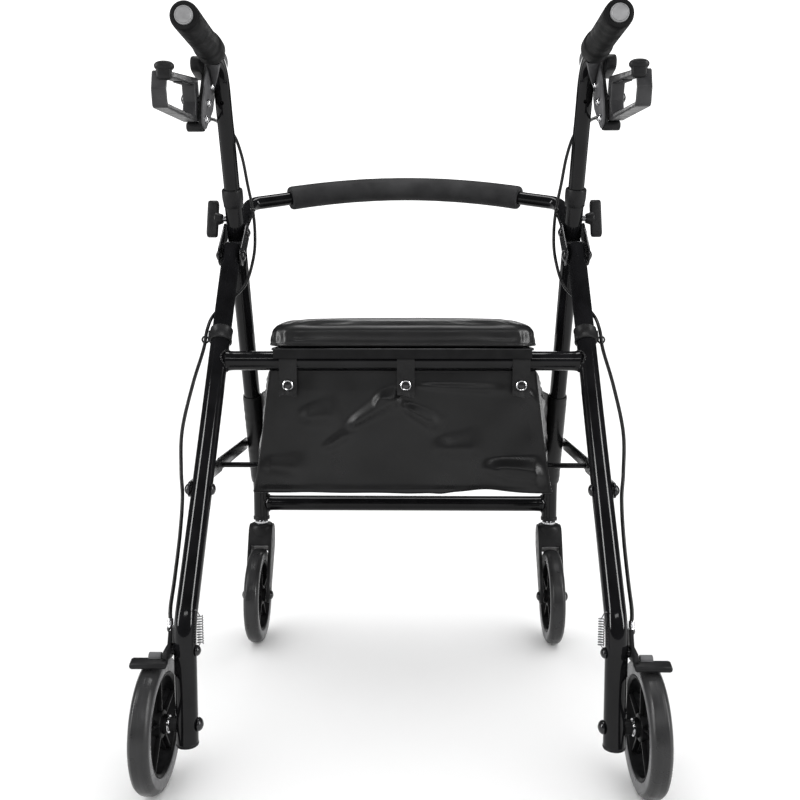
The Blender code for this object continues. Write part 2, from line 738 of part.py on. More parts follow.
def brake_lever(side):
    """The loop lever, which fingers go through, with a thumb tab on its back end."""
    name = side_name("brake_lever", side)
    outer = [(-0.1945, 0.7700), (-0.1900, 0.8110), (-0.0290, 0.8430), (-0.0200, 0.8050), (-0.0430, 0.7850)]
    inner = [(-0.1890, 0.7755), (-0.1850, 0.8060), (-0.0470, 0.8310), (-0.0410, 0.8060), (-0.0470, 0.7915)]
    loops = [
        [(p.x, p.y) for p in fillet([(y, z, 0) for y, z in loop], radius, steps=4, closed=True)]
        for loop, radius in ((outer, 0.0070), (inner, 0.0045))
    ]
    width = LEVER_X[1] - LEVER_X[0]
    lever = meshed(plate(name, loops, width, side * sum(LEVER_X) / 2, LEVER))
    tab = slab(name + "_tab", [(-0.1905, 0.8060, 0.0040), (-0.1930, 0.8165, 0.0052)],
               side * (LEVER_X[0] - 0.0004), side * (LEVER_X[1] + 0.0004), count=10)
    join(lever, tab)
    return lever


def height_knob(side):
    """The T-shaped screw in the front tube that clamps the handle post."""
    name = side_name("height_knob", side)
    z = 0.677
    y = front_y(z)
    s = side
    knob = rod(name, (s * 0.2565, y, z), (s * 0.2620, y, z), 0.0042, PLASTIC, sides=16)
    join(knob, rod(name + "_hub", (s * 0.2600, y, z), (s * 0.2700, y, z), 0.0085, sides=16))
    join(knob, slab(name + "_wing", [(y - 0.0060, z - 0.0200, 0.0070), (y + 0.0060, z + 0.0200, 0.0070)],
                    s * 0.2665, s * 0.2820))
    return knob


def brake_shoe(side):
    """The brake's arm beside the wheel, with the pad that presses on the tyre's tread."""
    name = side_name("brake_shoe", side)
    y, z = REAR_AXLE_Y, 0.1640
    s = side
    shoe = slab(name, [(y, z, 0.0090), (y - 0.0200, z + 0.0005, 0.0060), (y + 0.0060, z + 0.0220, 0.0050)],
                s * 0.2575, s * 0.2630, PLASTIC)
    join(shoe, slab(name + "_pad", [(y - 0.0250, z - 0.0020, 0.0070), (y - 0.0140, z + 0.0000, 0.0070)],
                    s * 0.2570, s * 0.2950))
    return shoe


CABLE_ROUTE = (
    (0.2585, -0.0010, 0.7965),
    (0.2590, 0.0150, 0.8005),
    (0.2588, 0.0320, 0.8040),
    (0.2570, 0.0560, 0.8060),
    (0.2510, 0.0830, 0.8030),
    (0.2420, 0.1020, 0.7930),
    (0.2350, 0.1170, 0.7660),
    (0.2300, 0.1280, 0.7300),
    (0.2240, 0.1330, 0.6950),
    (0.2210, 0.1320, 0.6600),
    (0.2220, 0.1240, 0.6250),
    (0.2300, 0.1000, 0.5850),
    (0.2450, 0.0600, 0.5600),
    (0.2590, 0.0180, 0.5400),
    (0.2628, -0.0080, 0.5200),
    (0.2640, -0.0250, 0.4950),
    (0.2720, -0.0560, 0.4500),
    (0.2770, -0.0950, 0.3950),
    (0.2710, -0.1270, 0.3500),
    (0.2655, -0.1450, 0.3200),
    (0.2630, -0.1700, 0.2800),
    (0.2625, -0.2000, 0.2350),
    (0.2625, -0.2200, 0.2080),
    (0.2605, -0.2285, 0.1935),
)


def brake_cable(side):
    route = [(side * x, y, z) for x, y, z in CABLE_ROUTE]
    return tube(side_name("brake_cable", side), smooth_through(route, 0.026), CABLE_R, JACKET, sides=8)


def build():
    rim_mesh = wheel_rim_mesh()
    for side in (-1, 1):
        front_leg(side)
        stem_plug(side)
        height_collar(side)
        fold_bracket(side)
        pivot_bolt(side)
        rear_leg(side)
        cable_clip(side)
        rear_axle(side)
        brake_spring(side)
        wheel("rear", side, (side * REAR_WHEEL_X, REAR_AXLE_Y, WHEEL_R), rim_mesh)
        caster_fork(side)
        wheel("caster", side, (side * SIDE_X, CASTER_AXLE_Y, WHEEL_R), rim_mesh)
        caster_axle(side)
        front_link(side)
        rear_link(side)
        handle_post(side)
        grip(side)
        grip_plug(side)
        brake_housing(side)
        brake_lever(side)
        height_knob(side)
        brake_shoe(side)
        brake_cable(side)
    seat_hinge_bar()
    coped_bar("front_crossbar", STEM_Y, FRONT_CROSSBAR_Z, CROSSBAR_R,
              ((STEM_Y, FRONT_CROSSBAR_Z - 0.05), (STEM_Y, FRONT_CROSSBAR_Z + 0.05)))
    low, high = REAR_CROSSBAR_Z - 0.07, REAR_CROSSBAR_Z + 0.07
    coped_bar("rear_crossbar", rear_y(REAR_CROSSBAR_Z), REAR_CROSSBAR_Z, CROSSBAR_R,
              ((rear_y(low), low), (rear_y(high), high)))
    back_bar()
    back_foam()
    storage_pouch()
    fold_rod()
    seat_pan()
    seat_cushion()


build()
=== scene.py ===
"""The looks of the folding walker: surfaces, soft goods, cables and fasteners round the CAD frame."""

import math

import bmesh
import bpy
import numpy as np
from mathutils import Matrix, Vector, noise


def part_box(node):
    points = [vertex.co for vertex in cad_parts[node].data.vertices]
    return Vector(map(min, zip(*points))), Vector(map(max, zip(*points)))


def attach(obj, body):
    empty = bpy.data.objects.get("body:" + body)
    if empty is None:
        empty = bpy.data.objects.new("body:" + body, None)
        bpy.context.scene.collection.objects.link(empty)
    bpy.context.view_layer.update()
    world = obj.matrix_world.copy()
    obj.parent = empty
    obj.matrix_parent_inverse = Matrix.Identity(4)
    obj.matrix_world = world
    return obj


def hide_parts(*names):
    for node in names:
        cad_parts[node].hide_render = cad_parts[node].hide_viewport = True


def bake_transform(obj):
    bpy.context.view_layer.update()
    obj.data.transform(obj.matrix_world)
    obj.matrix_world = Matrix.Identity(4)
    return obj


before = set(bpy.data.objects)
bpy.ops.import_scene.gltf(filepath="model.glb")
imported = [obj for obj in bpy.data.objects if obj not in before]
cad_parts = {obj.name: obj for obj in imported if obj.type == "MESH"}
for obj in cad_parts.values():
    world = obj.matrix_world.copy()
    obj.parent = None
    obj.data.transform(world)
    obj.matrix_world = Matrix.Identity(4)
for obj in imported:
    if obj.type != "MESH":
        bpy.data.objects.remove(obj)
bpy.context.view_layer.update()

# The frame's own dimensions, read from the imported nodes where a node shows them


def middle(node):
    low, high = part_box(node)
    return (low + high) / 2


def size(node):
    low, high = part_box(node)
    return high - low


SIDES = (-1, 1)
SIDE_X = middle("front_leg_right").x
TUBE_R = size("front_leg_right").x / 2
POST_R = size("handle_post_right").x / 2
WHEEL_R = size("rear_tyre_right").z / 2
WHEEL_HALF = size("rear_tyre_right").x / 2
REAR_WHEEL_X = middle("rear_tyre_right").x
REAR_AXLE_Y = middle("rear_tyre_right").y
CASTER_AXLE_Y = middle("caster_tyre_right").y
STEM_Y = middle("stem_plug_right").y
FRONT_LEAN = math.radians(23.25)
COLLAR_Y, COLLAR_Z = 0.0775, 0.717
PIVOT_Y, PIVOT_Z = middle("pivot_bolt_right").y, middle("pivot_bolt_right").z
REAR_BEND_Z = 0.190
LEG_BOTTOM_Z = 0.1998
REAR_LEG_BOTTOM_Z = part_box("rear_leg_right")[0].z
CROSSBAR_R = size("rear_crossbar").z / 2
REAR_CROSSBAR = middle("rear_crossbar")
LINK_Z = middle("fold_rod").z
MID_HINGE_Y = middle("fold_rod").y
GRIP_Z = middle("grip_plug_right").z
GRIP_BACK_Y, GRIP_FRONT_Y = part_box("grip_right")[0].y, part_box("grip_right")[1].y
UP_POST = Vector((0, -math.sin(FRONT_LEAN), math.cos(FRONT_LEAN)))
TUBE_INSIDE, TUBE_OUTSIDE = SIDE_X - TUBE_R, SIDE_X + TUBE_R
BOLT_R = 0.0040
ALONG_X, ALONG_Y, UP = Vector((1, 0, 0)), Vector((0, 1, 0)), Vector((0, 0, 1))


def clamp(value, low=0.0, high=1.0):
    return max(low, min(high, value))


def ripple(x, y, z):
    """Smooth noise from -1 to 1, the same in each run."""
    return noise.noise(Vector((x, y, z)))


def side_name(base, side):
    return f"{base}_{'right' if side > 0 else 'left'}"


def front_y(z):
    return COLLAR_Y + math.tan(FRONT_LEAN) * (COLLAR_Z - z)


def rear_y(z):
    slope = (PIVOT_Y - REAR_AXLE_Y) / (PIVOT_Z - REAR_BEND_Z)
    return PIVOT_Y - slope * (PIVOT_Z - z)


REAR_UP = Vector((0, rear_y(1) - rear_y(0), 1)).normalized()


def on_post(side, along):
    return Vector((side * SIDE_X, COLLAR_Y, COLLAR_Z)) + UP_POST * along


# Materials


class Finish:
    """A procedural surface: colour and roughness that vary a little, and a fine bump."""

    def __init__(self, name, colour, roughness, metallic=0.0, coat=0.0, specular=0.5, sheen=0.0):
        self.material = bpy.data.materials.new(name)
        self.material.use_nodes = True
        self.nodes = self.material.node_tree.nodes
        self.shader = self.nodes["Principled BSDF"]
        self.shader.inputs["Base Color"].default_value = (*colour, 1)
        self.shader.inputs["Roughness"].default_value = roughness
        self.shader.inputs["Metallic"].default_value = metallic
        self.shader.inputs["Coat Weight"].default_value = coat
        self.shader.inputs["Coat Roughness"].default_value = 0.06
        self.shader.inputs["Specular IOR Level"].default_value = specular
        self.shader.inputs["Sheen Weight"].default_value = sheen
        self.colour = colour
        self.roughness = roughness
        self.place = self.nodes.new("ShaderNodeTexCoord").outputs["Object"]
        self.normal = None

    def link(self, source, target):
        self.material.node_tree.links.new(source, target)

    def noise(self, scale, detail=4.0, stretch=None):
        texture = self.nodes.new("ShaderNodeTexNoise")
        texture.inputs["Scale"].default_value = scale
        texture.inputs["Detail"].default_value = detail
        place = self.place
        if stretch:
            mapping = self.nodes.new("ShaderNodeMapping")
            mapping.inputs["Scale"].default_value = stretch
            self.link(self.place, mapping.inputs["Vector"])
            place = mapping.outputs["Vector"]
        self.link(place, texture.inputs["Vector"])
        return texture.outputs["Fac"]

    def cells(self, scale, feature="F1"):
        texture = self.nodes.new("ShaderNodeTexVoronoi")
        texture.inputs["Scale"].default_value = scale
        texture.feature = feature
        self.link(self.place, texture.inputs["Vector"])
        return texture.outputs["Distance"]

    def waves(self, scale, direction):
        texture = self.nodes.new("ShaderNodeTexWave")
        texture.bands_direction = direction
        texture.inputs["Scale"].default_value = scale
        self.link(self.place, texture.inputs["Vector"])
        return texture.outputs["Fac"]

    def spread(self, value, low, high):
        """Stretches the middle of a texture's values, from 0.3 to 0.7, over low to high."""
        spread = self.nodes.new("ShaderNodeMapRange")
        spread.inputs["From Min"].default_value = 0.3
        spread.inputs["From Max"].default_value = 0.7
        spread.inputs["To Min"].default_value = low
        spread.inputs["To Max"].default_value = high
        self.link(value, spread.inputs["Value"])
        return spread.outputs["Result"]

    def vary_roughness(self, value, change):
        low, high = self.roughness - change / 2, self.roughness + change
        self.link(self.spread(value, low, high), self.shader.inputs["Roughness"])
        return self

    def vary_colour(self, value, other):
        mix = self.nodes.new("ShaderNodeMix")
        mix.data_type = "RGBA"
        mix.inputs["A"].default_value = (*self.colour, 1)
        mix.inputs["B"].default_value = (*other, 1)
        self.link(self.spread(value, 0, 1), mix.inputs["Factor"])
        self.link(mix.outputs["Result"], self.shader.inputs["Base Color"])
        return self

    def bump(self, value, strength, distance):
        bump = self.nodes.new("ShaderNodeBump")
        bump.inputs["Strength"].default_value = strength
        bump.inputs["Distance"].default_value = distance
        self.link(value, bump.inputs["Height"])
        if self.normal:
            self.link(self.normal, bump.inputs["Normal"])
        self.normal = bump.outputs["Normal"]
        self.link(self.normal, self.shader.inputs["Normal"])
        return self


NOISE, CELLS, WAVES = Finish.noise, Finish.cells, Finish.waves


def grey(level, blue):
    """A grey whose blue part may stand a little above the rest."""
    return (level, level, blue)


def surface(name, colour, roughness, wear, tint, *bumps, **shader):
    """One finish. Wear is (noise settings, change of roughness), tint is (noise settings, second colour)."""
    made = Finish(name, colour, roughness, **shader)
    *settings, change = wear
    made.vary_roughness(made.noise(*settings), change)
    if tint:
        *settings, second = tint
        made.vary_colour(made.noise(*settings), second)
    for pattern, settings, strength, distance in bumps:
        made.bump(pattern(made, *settings), strength, distance)
    return made.material


def tyre_rubber(name, colour, second):
    return surface(name, colour, 0.29, (45, 5, 0.16), (22, 6, second),
                   (NOISE, (700, 3), 0.16, 0.0003), specular=0.30)


def moulded_plastic(name, colour, second, roughness):
    return surface(name, colour, roughness, (90, 4, 0.12), (70, 5, second),
                   (NOISE, (1600, 3), 0.18, 0.0002), specular=0.14)


# Glossy powder coat: a faint orange peel, and a little dust in lighter random patches
PAINT = surface("gloss_black_paint", grey(0.0022, 0.0024), 0.10, (9, 3, 0.07), (35, 6, grey(0.0045, 0.0050)),
                (NOISE, (420, 2), 0.05, 0.0003), coat=0.20, specular=0.10)
STEEL = surface("black_zinc_steel", grey(0.0060, 0.0065), 0.15, (60, 5, 0.14), (90, 5, grey(0.0130, 0.0140)),
                (NOISE, (900, 3), 0.10, 0.0002), metallic=0.2, specular=0.5)
# The spread links are brushed along their length and lighter than the paint
LINK_STEEL = surface("plated_links", grey(0.030, 0.032), 0.22, (40, 4, (1, 0.1, 1), 0.15), None,
                     (NOISE, (700, 2, (1, 0.05, 1)), 0.10, 0.0002), metallic=0.7)
CHROME = surface("chrome", grey(0.50, 0.51), 0.12, (150, 4, 0.10), None,
                 (NOISE, (1200, 2), 0.04, 0.0001), metallic=1.0)
SPRING_STEEL = surface("spring_steel", grey(0.16, 0.165), 0.30, (200, 3, 0.12), (160, 3, grey(0.26, 0.265)),
                       (NOISE, (1500, 2), 0.05, 0.0001), metallic=0.9)
TREAD = tyre_rubber("tyre_rubber", grey(0.012, 0.0125), grey(0.018, 0.0185))
SIDEWALL = tyre_rubber("tyre_sidewall", grey(0.055, 0.057), grey(0.075, 0.077))
RIM = surface("wheel_plastic", grey(0.0026, 0.0028), 0.36, (80, 4, 0.12), (120, 3, grey(0.0055, 0.0058)),
              (NOISE, (1500, 2), 0.10, 0.0002), specular=0.05)
GRIP = surface("grip_rubber", grey(0.0036, 0.0038), 0.56, (70, 5, 0.14), (55, 5, grey(0.0062, 0.0065)),
               (CELLS, (1500,), 0.22, 0.0003), specular=0.08)
PLASTIC = moulded_plastic("moulded_plastic", grey(0.0060, 0.0063), grey(0.0105, 0.0110), 0.38)
GREY_PLASTIC = moulded_plastic("housing_plastic", grey(0.055, 0.057), grey(0.078, 0.081), 0.42)
# The cast lever's paint is worn brighter in random patches
LEVER = surface("lever_metal", grey(0.012, 0.013), 0.34, (60, 5, 0.16), (45, 6, grey(0.026, 0.027)),
                (NOISE, (500, 3), 0.16, 0.0003), metallic=0.05, coat=0.05, specular=0.3)
PLUG = surface("grey_end_plug", grey(0.12, 0.122), 0.36, (150, 4, 0.12), (110, 5, grey(0.17, 0.173)),
               (NOISE, (1300, 3), 0.20, 0.0002))
# Closed-cell foam: fine pores and a dull skin
FOAM = surface("black_foam", grey(0.0110, 0.0115), 0.62, (60, 4, 0.14), (30, 6, grey(0.0230, 0.0238)),
               (CELLS, (900,), 0.30, 0.0004), (NOISE, (70, 3), 0.25, 0.0008), specular=0.10)
# Upholstery vinyl: a fine leather grain and a soft gloss
VINYL = surface("black_vinyl", grey(0.0040, 0.0042), 0.34, (25, 5, 0.10), (18, 6, grey(0.0070, 0.0073)),
                (CELLS, (700, "SMOOTH_F1"), 0.14, 0.0003), (NOISE, (60, 4), 0.06, 0.0005),
                coat=0.03, specular=0.26)
# Coated pouch cloth: the weave shows through a semi-gloss coat
CLOTH = surface("coated_fabric", grey(0.0030, 0.0032), 0.30, (14, 5, 0.16), (9, 6, grey(0.0056, 0.0058)),
                (WAVES, (420, "X"), 0.05, 0.0002), (WAVES, (420, "Z"), 0.05, 0.0002),
                (NOISE, (50, 5), 0.16, 0.0010), specular=0.26)
WEBBING = surface("strap_webbing", grey(0.0055, 0.0057), 0.50, (60, 4, 0.16), (40, 6, grey(0.0100, 0.0103)),
                  (WAVES, (330, "X"), 0.35, 0.0003), (WAVES, (330, "Z"), 0.35, 0.0003),
                  specular=0.12, sheen=0.03)
JACKET = surface("cable_jacket", grey(0.004, 0.0042), 0.30, (80, 4, 0.14), (50, 4, grey(0.008, 0.0083)),
                 (WAVES, (260, "Z"), 0.10, 0.0002), specular=0.2)


# Shape helpers


def add(name, mesh, material):
    made = bpy.data.objects.new(name, mesh)
    bpy.context.scene.collection.objects.link(made)
    if material and not mesh.materials:
        mesh.materials.append(material)
    return made


def piece(made, body, slot, *nodes):
    """A finished piece takes its place: it rides on a body and stands for these CAD nodes."""
    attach(made, body)
    if nodes:
        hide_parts(*nodes)
    return made


def smooth(mesh, angle):
    mesh.shade_smooth()
    mesh.set_sharp_from_angle(angle=math.radians(angle))


def from_bmesh(name, shape, material, angle=35):
    mesh = bpy.data.meshes.new(name)
    shape.to_mesh(mesh)
    shape.free()
    smooth(mesh, angle)
    return add(name, mesh, material)


def fillet(points, radius, steps, closed=False):
    """The points with each inner corner replaced by an arc of the radius."""
    points = [Vector(p) for p in points]
    count = len(points)
    made = []
    for i, corner in enumerate(points):
        if not closed and i in (0, count - 1):
            made.append(corner)
            continue
        back = (points[i - 1] - corner).normalized()
        ahead = (points[(i + 1) % count] - corner).normalized()
        half = back.angle(ahead) / 2
        setback = radius / math.tan(half)
        centre = corner + (back + ahead).normalized() * (radius / math.sin(half))
        first = corner + back * setback - centre
        last = corner + ahead * setback - centre
        turn = first.angle(last)
        for step in range(steps + 1):
            t = step / steps
            arm = first * math.sin(turn * (1 - t)) + last * math.sin(turn * t)
            made.append(centre + arm / math.sin(turn))
    return made


def smooth_through(points, spacing):
    """Points about spacing apart on a Catmull-Rom curve through the given points."""
    points = [Vector(p) for p in points]
    ends = [2 * points[0] - points[1], *points, 2 * points[-1] - points[-2]]
    made = []
    for a, b, c, d in zip(ends, ends[1:], ends[2:], ends[3:]):
        steps = max(1, round((c - b).length / spacing))
        for step in range(steps):
            t = step / steps
            made.append(
                0.5 * (2 * b + (c - a) * t + (2 * a - 5 * b + 4 * c - d) * t**2
                       + (3 * b - a - 3 * c + d) * t**3)
            )
    return [*made, points[-1]]


def sweep(name, points, radii, material, sides=32, closed=False, angle=35):
    """A round solid along the points, with one radius or one for each point."""
    points = [Vector(p) for p in points]
    count = len(points)
    if not hasattr(radii, "__len__"):
        radii = [radii] * count
    shape = bmesh.new()
    up = None
    rings = []
    for i, point in enumerate(points):
        before = points[i - 1] if i or closed else point
        after = points[(i + 1) % count] if i < count - 1 or closed else point
        along = (after - before).normalized()
        if up is None:
            up = along.orthogonal().normalized()
        up = (up - along * up.dot(along)).normalized()
        across = along.cross(up)
        rings.append([
            shape.verts.new(point + (up * math.cos(a) + across * math.sin(a)) * radii[i])
            for a in (math.tau * k / sides for k in range(sides))
        ])
    pairs = list(zip(rings, rings[1:]))
    if closed:
        pairs.append((rings[-1], rings[0]))
    for low, high in pairs:
        for k in range(sides):
            shape.faces.new((low[k], low[(k + 1) % sides], high[(k + 1) % sides], high[k]))
    if not closed:
        shape.faces.new(list(reversed(rings[0])))
        shape.faces.new(rings[-1])
    return from_bmesh(name, shape, material, angle)


def rod(name, x_ends, y, z, radius, material, sides=32):
    """A straight round bar across X."""
    return sweep(name, [(x, y, z) for x in x_ends], radius, material, sides)


def ring_points(centre, across, up, radius, count):
    turns = (math.tau * k / count for k in range(count))
    return [centre + (across * math.cos(a) + up * math.sin(a)) * radius for a in turns]


def lathe(name, profile, place, axis, material, steps=48, angle=35):
    """A closed (radius, height) outline turned about an axis through place."""
    turn = Vector(axis).to_track_quat("Z", "Y").to_matrix()
    shape = bmesh.new()
    columns = []
    for k in range(steps):
        a = math.tau * k / steps
        columns.append([
            shape.verts.new(Vector(place) + turn @ Vector((r * math.cos(a), r * math.sin(a), h)))
            for r, h in profile
        ])
    count = len(profile)
    for k in range(steps):
        near, far = columns[k], columns[(k + 1) % steps]
        for i in range(count):
            j = (i + 1) % count
            shape.faces.new((near[i], far[i], far[j], near[j]))
    bmesh.ops.remove_doubles(shape, verts=shape.verts, dist=1e-7)
    bmesh.ops.dissolve_degenerate(shape, edges=shape.edges, dist=1e-8)
    bmesh.ops.recalc_face_normals(shape, faces=shape.faces)
    return from_bmesh(name, shape, material, angle)


def apply_modifiers(made):
    """The object with its modifiers turned into mesh."""
    bpy.context.view_layer.update()
    graph = bpy.context.evaluated_depsgraph_get()
    mesh = bpy.data.meshes.new_from_object(made.evaluated_get(graph))
    made.modifiers.clear()
    made.data = mesh
    return made


def bevel(made, width, segments):
    change = made.modifiers.new("edge", "BEVEL")
    change.width = width
    change.segments = segments
    change.limit_method = "ANGLE"
    change.angle_limit = math.radians(30)
    return apply_modifiers(made)


def circle(y, z, radius, count):
    return [
        (y + radius * math.cos(math.tau * i / count), z + radius * math.sin(math.tau * i / count))
        for i in range(count)
    ]


def convex(points):
    """The convex outline round (y, z) points, anticlockwise."""
    points = sorted(set(points))
    made = []
    for row in (points, points[::-1]):
        chain = []
        for p in row:
            while len(chain) > 1 and (
                (chain[-1][0] - chain[-2][0]) * (p[1] - chain[-2][1])
                - (chain[-1][1] - chain[-2][1]) * (p[0] - chain[-2][0])
            ) <= 1e-12:
                chain.pop()
            chain.append(p)
        made += chain[:-1]
    return made


def plate(name, outline, x_low, x_high, material, edge, segments=2):
    """A flat piece across X from a (y, z) outline, with rounded edges."""
    shape = bmesh.new()
    low, high = sorted((x_low, x_high))
    base = [shape.verts.new((low, y, z)) for y, z in outline]
    face = shape.faces.new(base)
    lifted = bmesh.ops.extrude_face_region(shape, geom=[face])
    moved = [v for v in lifted["geom"] if isinstance(v, bmesh.types.BMVert)]
    bmesh.ops.translate(shape, vec=(high - low, 0, 0), verts=moved)
    bmesh.ops.recalc_face_normals(shape, faces=shape.faces)
    made = from_bmesh(name, shape, material)
    if edge:
        bevel(made, edge, segments)
        smooth(made.data, 40)
    return made


def slab(name, circles, x_low, x_high, material, edge):
    """A flat piece across X, with the outline of a belt round (y, z, radius) circles."""
    outline = convex([p for y, z, r in circles for p in circle(y, z, r, 32)])
    return plate(name, outline, x_low, x_high, material, edge)


def boolean(made, other):
    """Cuts the other solid out of this one."""
    change = made.modifiers.new("shape", "BOOLEAN")
    change.operation = "DIFFERENCE"
    change.solver = "EXACT"
    change.object = other
    apply_modifiers(made)
    bpy.data.objects.remove(other, do_unlink=True)
    smooth(made.data, 35)
    return made


def merge(name, pieces):
    """Several meshes as one object, which keeps their materials."""
    shape = bmesh.new()
    materials = []
    for part in pieces:
        mesh = part.data.copy()
        mesh.transform(part.matrix_world)
        slots = []
        for material in part.data.materials:
            if material not in materials:
                materials.append(material)
            slots.append(materials.index(material))
        first = len(shape.faces)
        shape.from_mesh(mesh)
        shape.faces.ensure_lookup_table()
        for face in shape.faces[first:]:
            face.material_index = slots[min(face.material_index, len(slots) - 1)] if slots else 0
        bpy.data.meshes.remove(mesh)
    joined = bpy.data.meshes.new(name)
    shape.to_mesh(joined)
    shape.free()
    for material in materials:
        joined.materials.append(material)
    for part in pieces:
        bpy.data.objects.remove(part, do_unlink=True)
    return add(name, joined, None)


def dome_bolt(name, place, way, radius, rise, material=None, socket=True):
    """A domed bolt head whose flat side lies at place and whose crown points along way."""
    steps = 7
    dome = [
        (radius * math.cos(a), rise * math.sin(a))
        for a in (math.radians(90) * i / steps for i in range(steps))
    ]
    profile = [(0, 0), (radius * 0.96, 0), (radius, rise * 0.10), *dome[1:]]
    if socket:
        profile += [(radius * 0.36, rise * 0.985), (radius * 0.33, rise * 0.55), (0, rise * 0.5)]
    else:
        profile += [(radius * 0.2, rise), (0, rise)]
    return lathe(name, profile, place, way, material or STEEL, steps=28)


# Camera, light and floor


def stage():
    camera = bpy.data.objects.new("camera", bpy.data.cameras.new("camera"))
    bpy.context.scene.collection.objects.link(camera)
    camera.data.lens = 40.37
    camera.data.sensor_width = 36
    camera.location = (0.0158, REAR_AXLE_Y - 0.978, 0.545)
    camera.rotation_euler = (math.radians(90 - 5.66), 0, math.radians(0.925))
    bpy.context.scene.camera = camera

    floor_finish = Finish("studio_floor", (0.95, 0.95, 0.95), 0.70, specular=0.1)
    floor_finish.vary_roughness(floor_finish.noise(3, 3), 0.05)
    shape = bmesh.new()
    bmesh.ops.create_grid(shape, x_segments=1, y_segments=1, size=20)
    floor = from_bmesh("floor", shape, floor_finish.material)

    bpy.context.scene.view_settings.view_transform = "Standard"
    world = bpy.data.worlds.new("studio")
    bpy.context.scene.world = world
    world.use_nodes = True
    nodes = world.node_tree.nodes
    links = world.node_tree.links
    mirrored = nodes.new("ShaderNodeLightPath").outputs["Is Glossy Ray"]
    bright = nodes["Background"]
    bright.inputs["Color"].default_value = (1, 1, 1, 1)
    bright.inputs["Strength"].default_value = 1.38
    dim = nodes.new("ShaderNodeBackground")
    dim.inputs["Color"].default_value = (0.90, 0.92, 0.95, 1)
    dim.inputs["Strength"].default_value = 0.05
    mix = nodes.new("ShaderNodeMixShader")
    links.new(mirrored, mix.inputs[0])
    links.new(bright.outputs[0], mix.inputs[1])
    links.new(dim.outputs[0], mix.inputs[2])
    links.new(mix.outputs[0], nodes["World Output"].inputs["Surface"])

    # The lamps are flagged off the floor, which the even sky lights, so dark parts mirror a dimmer floor
    flagged = bpy.data.collections.new("flagged_floor")
    flagged.objects.link(floor)
    flagged.collection_objects[0].light_linking.link_state = "EXCLUDE"

    for name, place, aim, width, height, power in (
        ("left_box", (-2.4, -1.0, 1.5), (0, 0, 0.5), 0.45, 2.2, 75),
        ("right_box", (2.4, -1.0, 1.5), (0, 0, 0.5), 0.45, 2.2, 75),
        ("top_box", (0, 0.4, 3.2), (0, 0, 0), 1.6, 0.7, 34),
        ("back_box", (0, 2.8, 1.6), (0, 0, 0.5), 2.0, 0.5, 9),
        ("near_box", (0.3, -3.0, 2.3), (0, 0, 0.45), 2.2, 0.30, 18),
    ):
        light = bpy.data.lights.new(name, "AREA")
        light.shape = "RECTANGLE"
        light.size, light.size_y = width, height
        light.energy = power
        lamp = bpy.data.objects.new(name, light)
        bpy.context.scene.collection.objects.link(lamp)
        lamp.light_linking.receiver_collection = flagged
        lamp.location = place
        lamp.rotation_euler = (Vector(aim) - Vector(place)).to_track_quat("-Z", "Y").to_euler()


# Frame


def front_frame_tubes(side):
    x = side * SIDE_X
    bend_z = COLLAR_Z - (STEM_Y - COLLAR_Y) / math.tan(FRONT_LEAN)
    path = fillet([on_post(side, -0.0035), (x, STEM_Y, bend_z), (x, STEM_Y, LEG_BOTTOM_Z)], 0.06, steps=10)
    name = side_name("front_leg", side)
    piece(sweep(name + "_tube", path, TUBE_R, PAINT), "front_frame", "gloss_black_paint", name)

    plug = [
        (0.0135, 0.1945), (0.0137, 0.1955), (0.0137, 0.1990), (0.0134, 0.2000), (0.0120, 0.2000),
        (0.0066, 0.2000), (0.0066, 0.1945),
    ]
    name = side_name("stem_plug", side)
    piece(lathe(name + "_bush", plug, (x, STEM_Y, 0), UP, PLASTIC), "front_frame", "dark_plastic", name)

    collar = [
        (POST_R + 0.0003, 0), (0.0132, 0.0002), (0.0143, -0.0006), (0.0148, -0.0022), (0.0149, -0.0110),
        (0.0147, -0.0150), (0.0141, -0.0190), (0.0139, -0.0245), (0.0134, -0.0252),
        (TUBE_R + 0.0001, -0.0250), (TUBE_R + 0.0001, -0.0030), (POST_R + 0.0003, -0.0030),
    ]
    name = side_name("height_collar", side)
    ring = lathe(name + "_ring", collar, on_post(side, 0), UP_POST, PLASTIC)
    piece(ring, "front_frame", "dark_plastic", name)


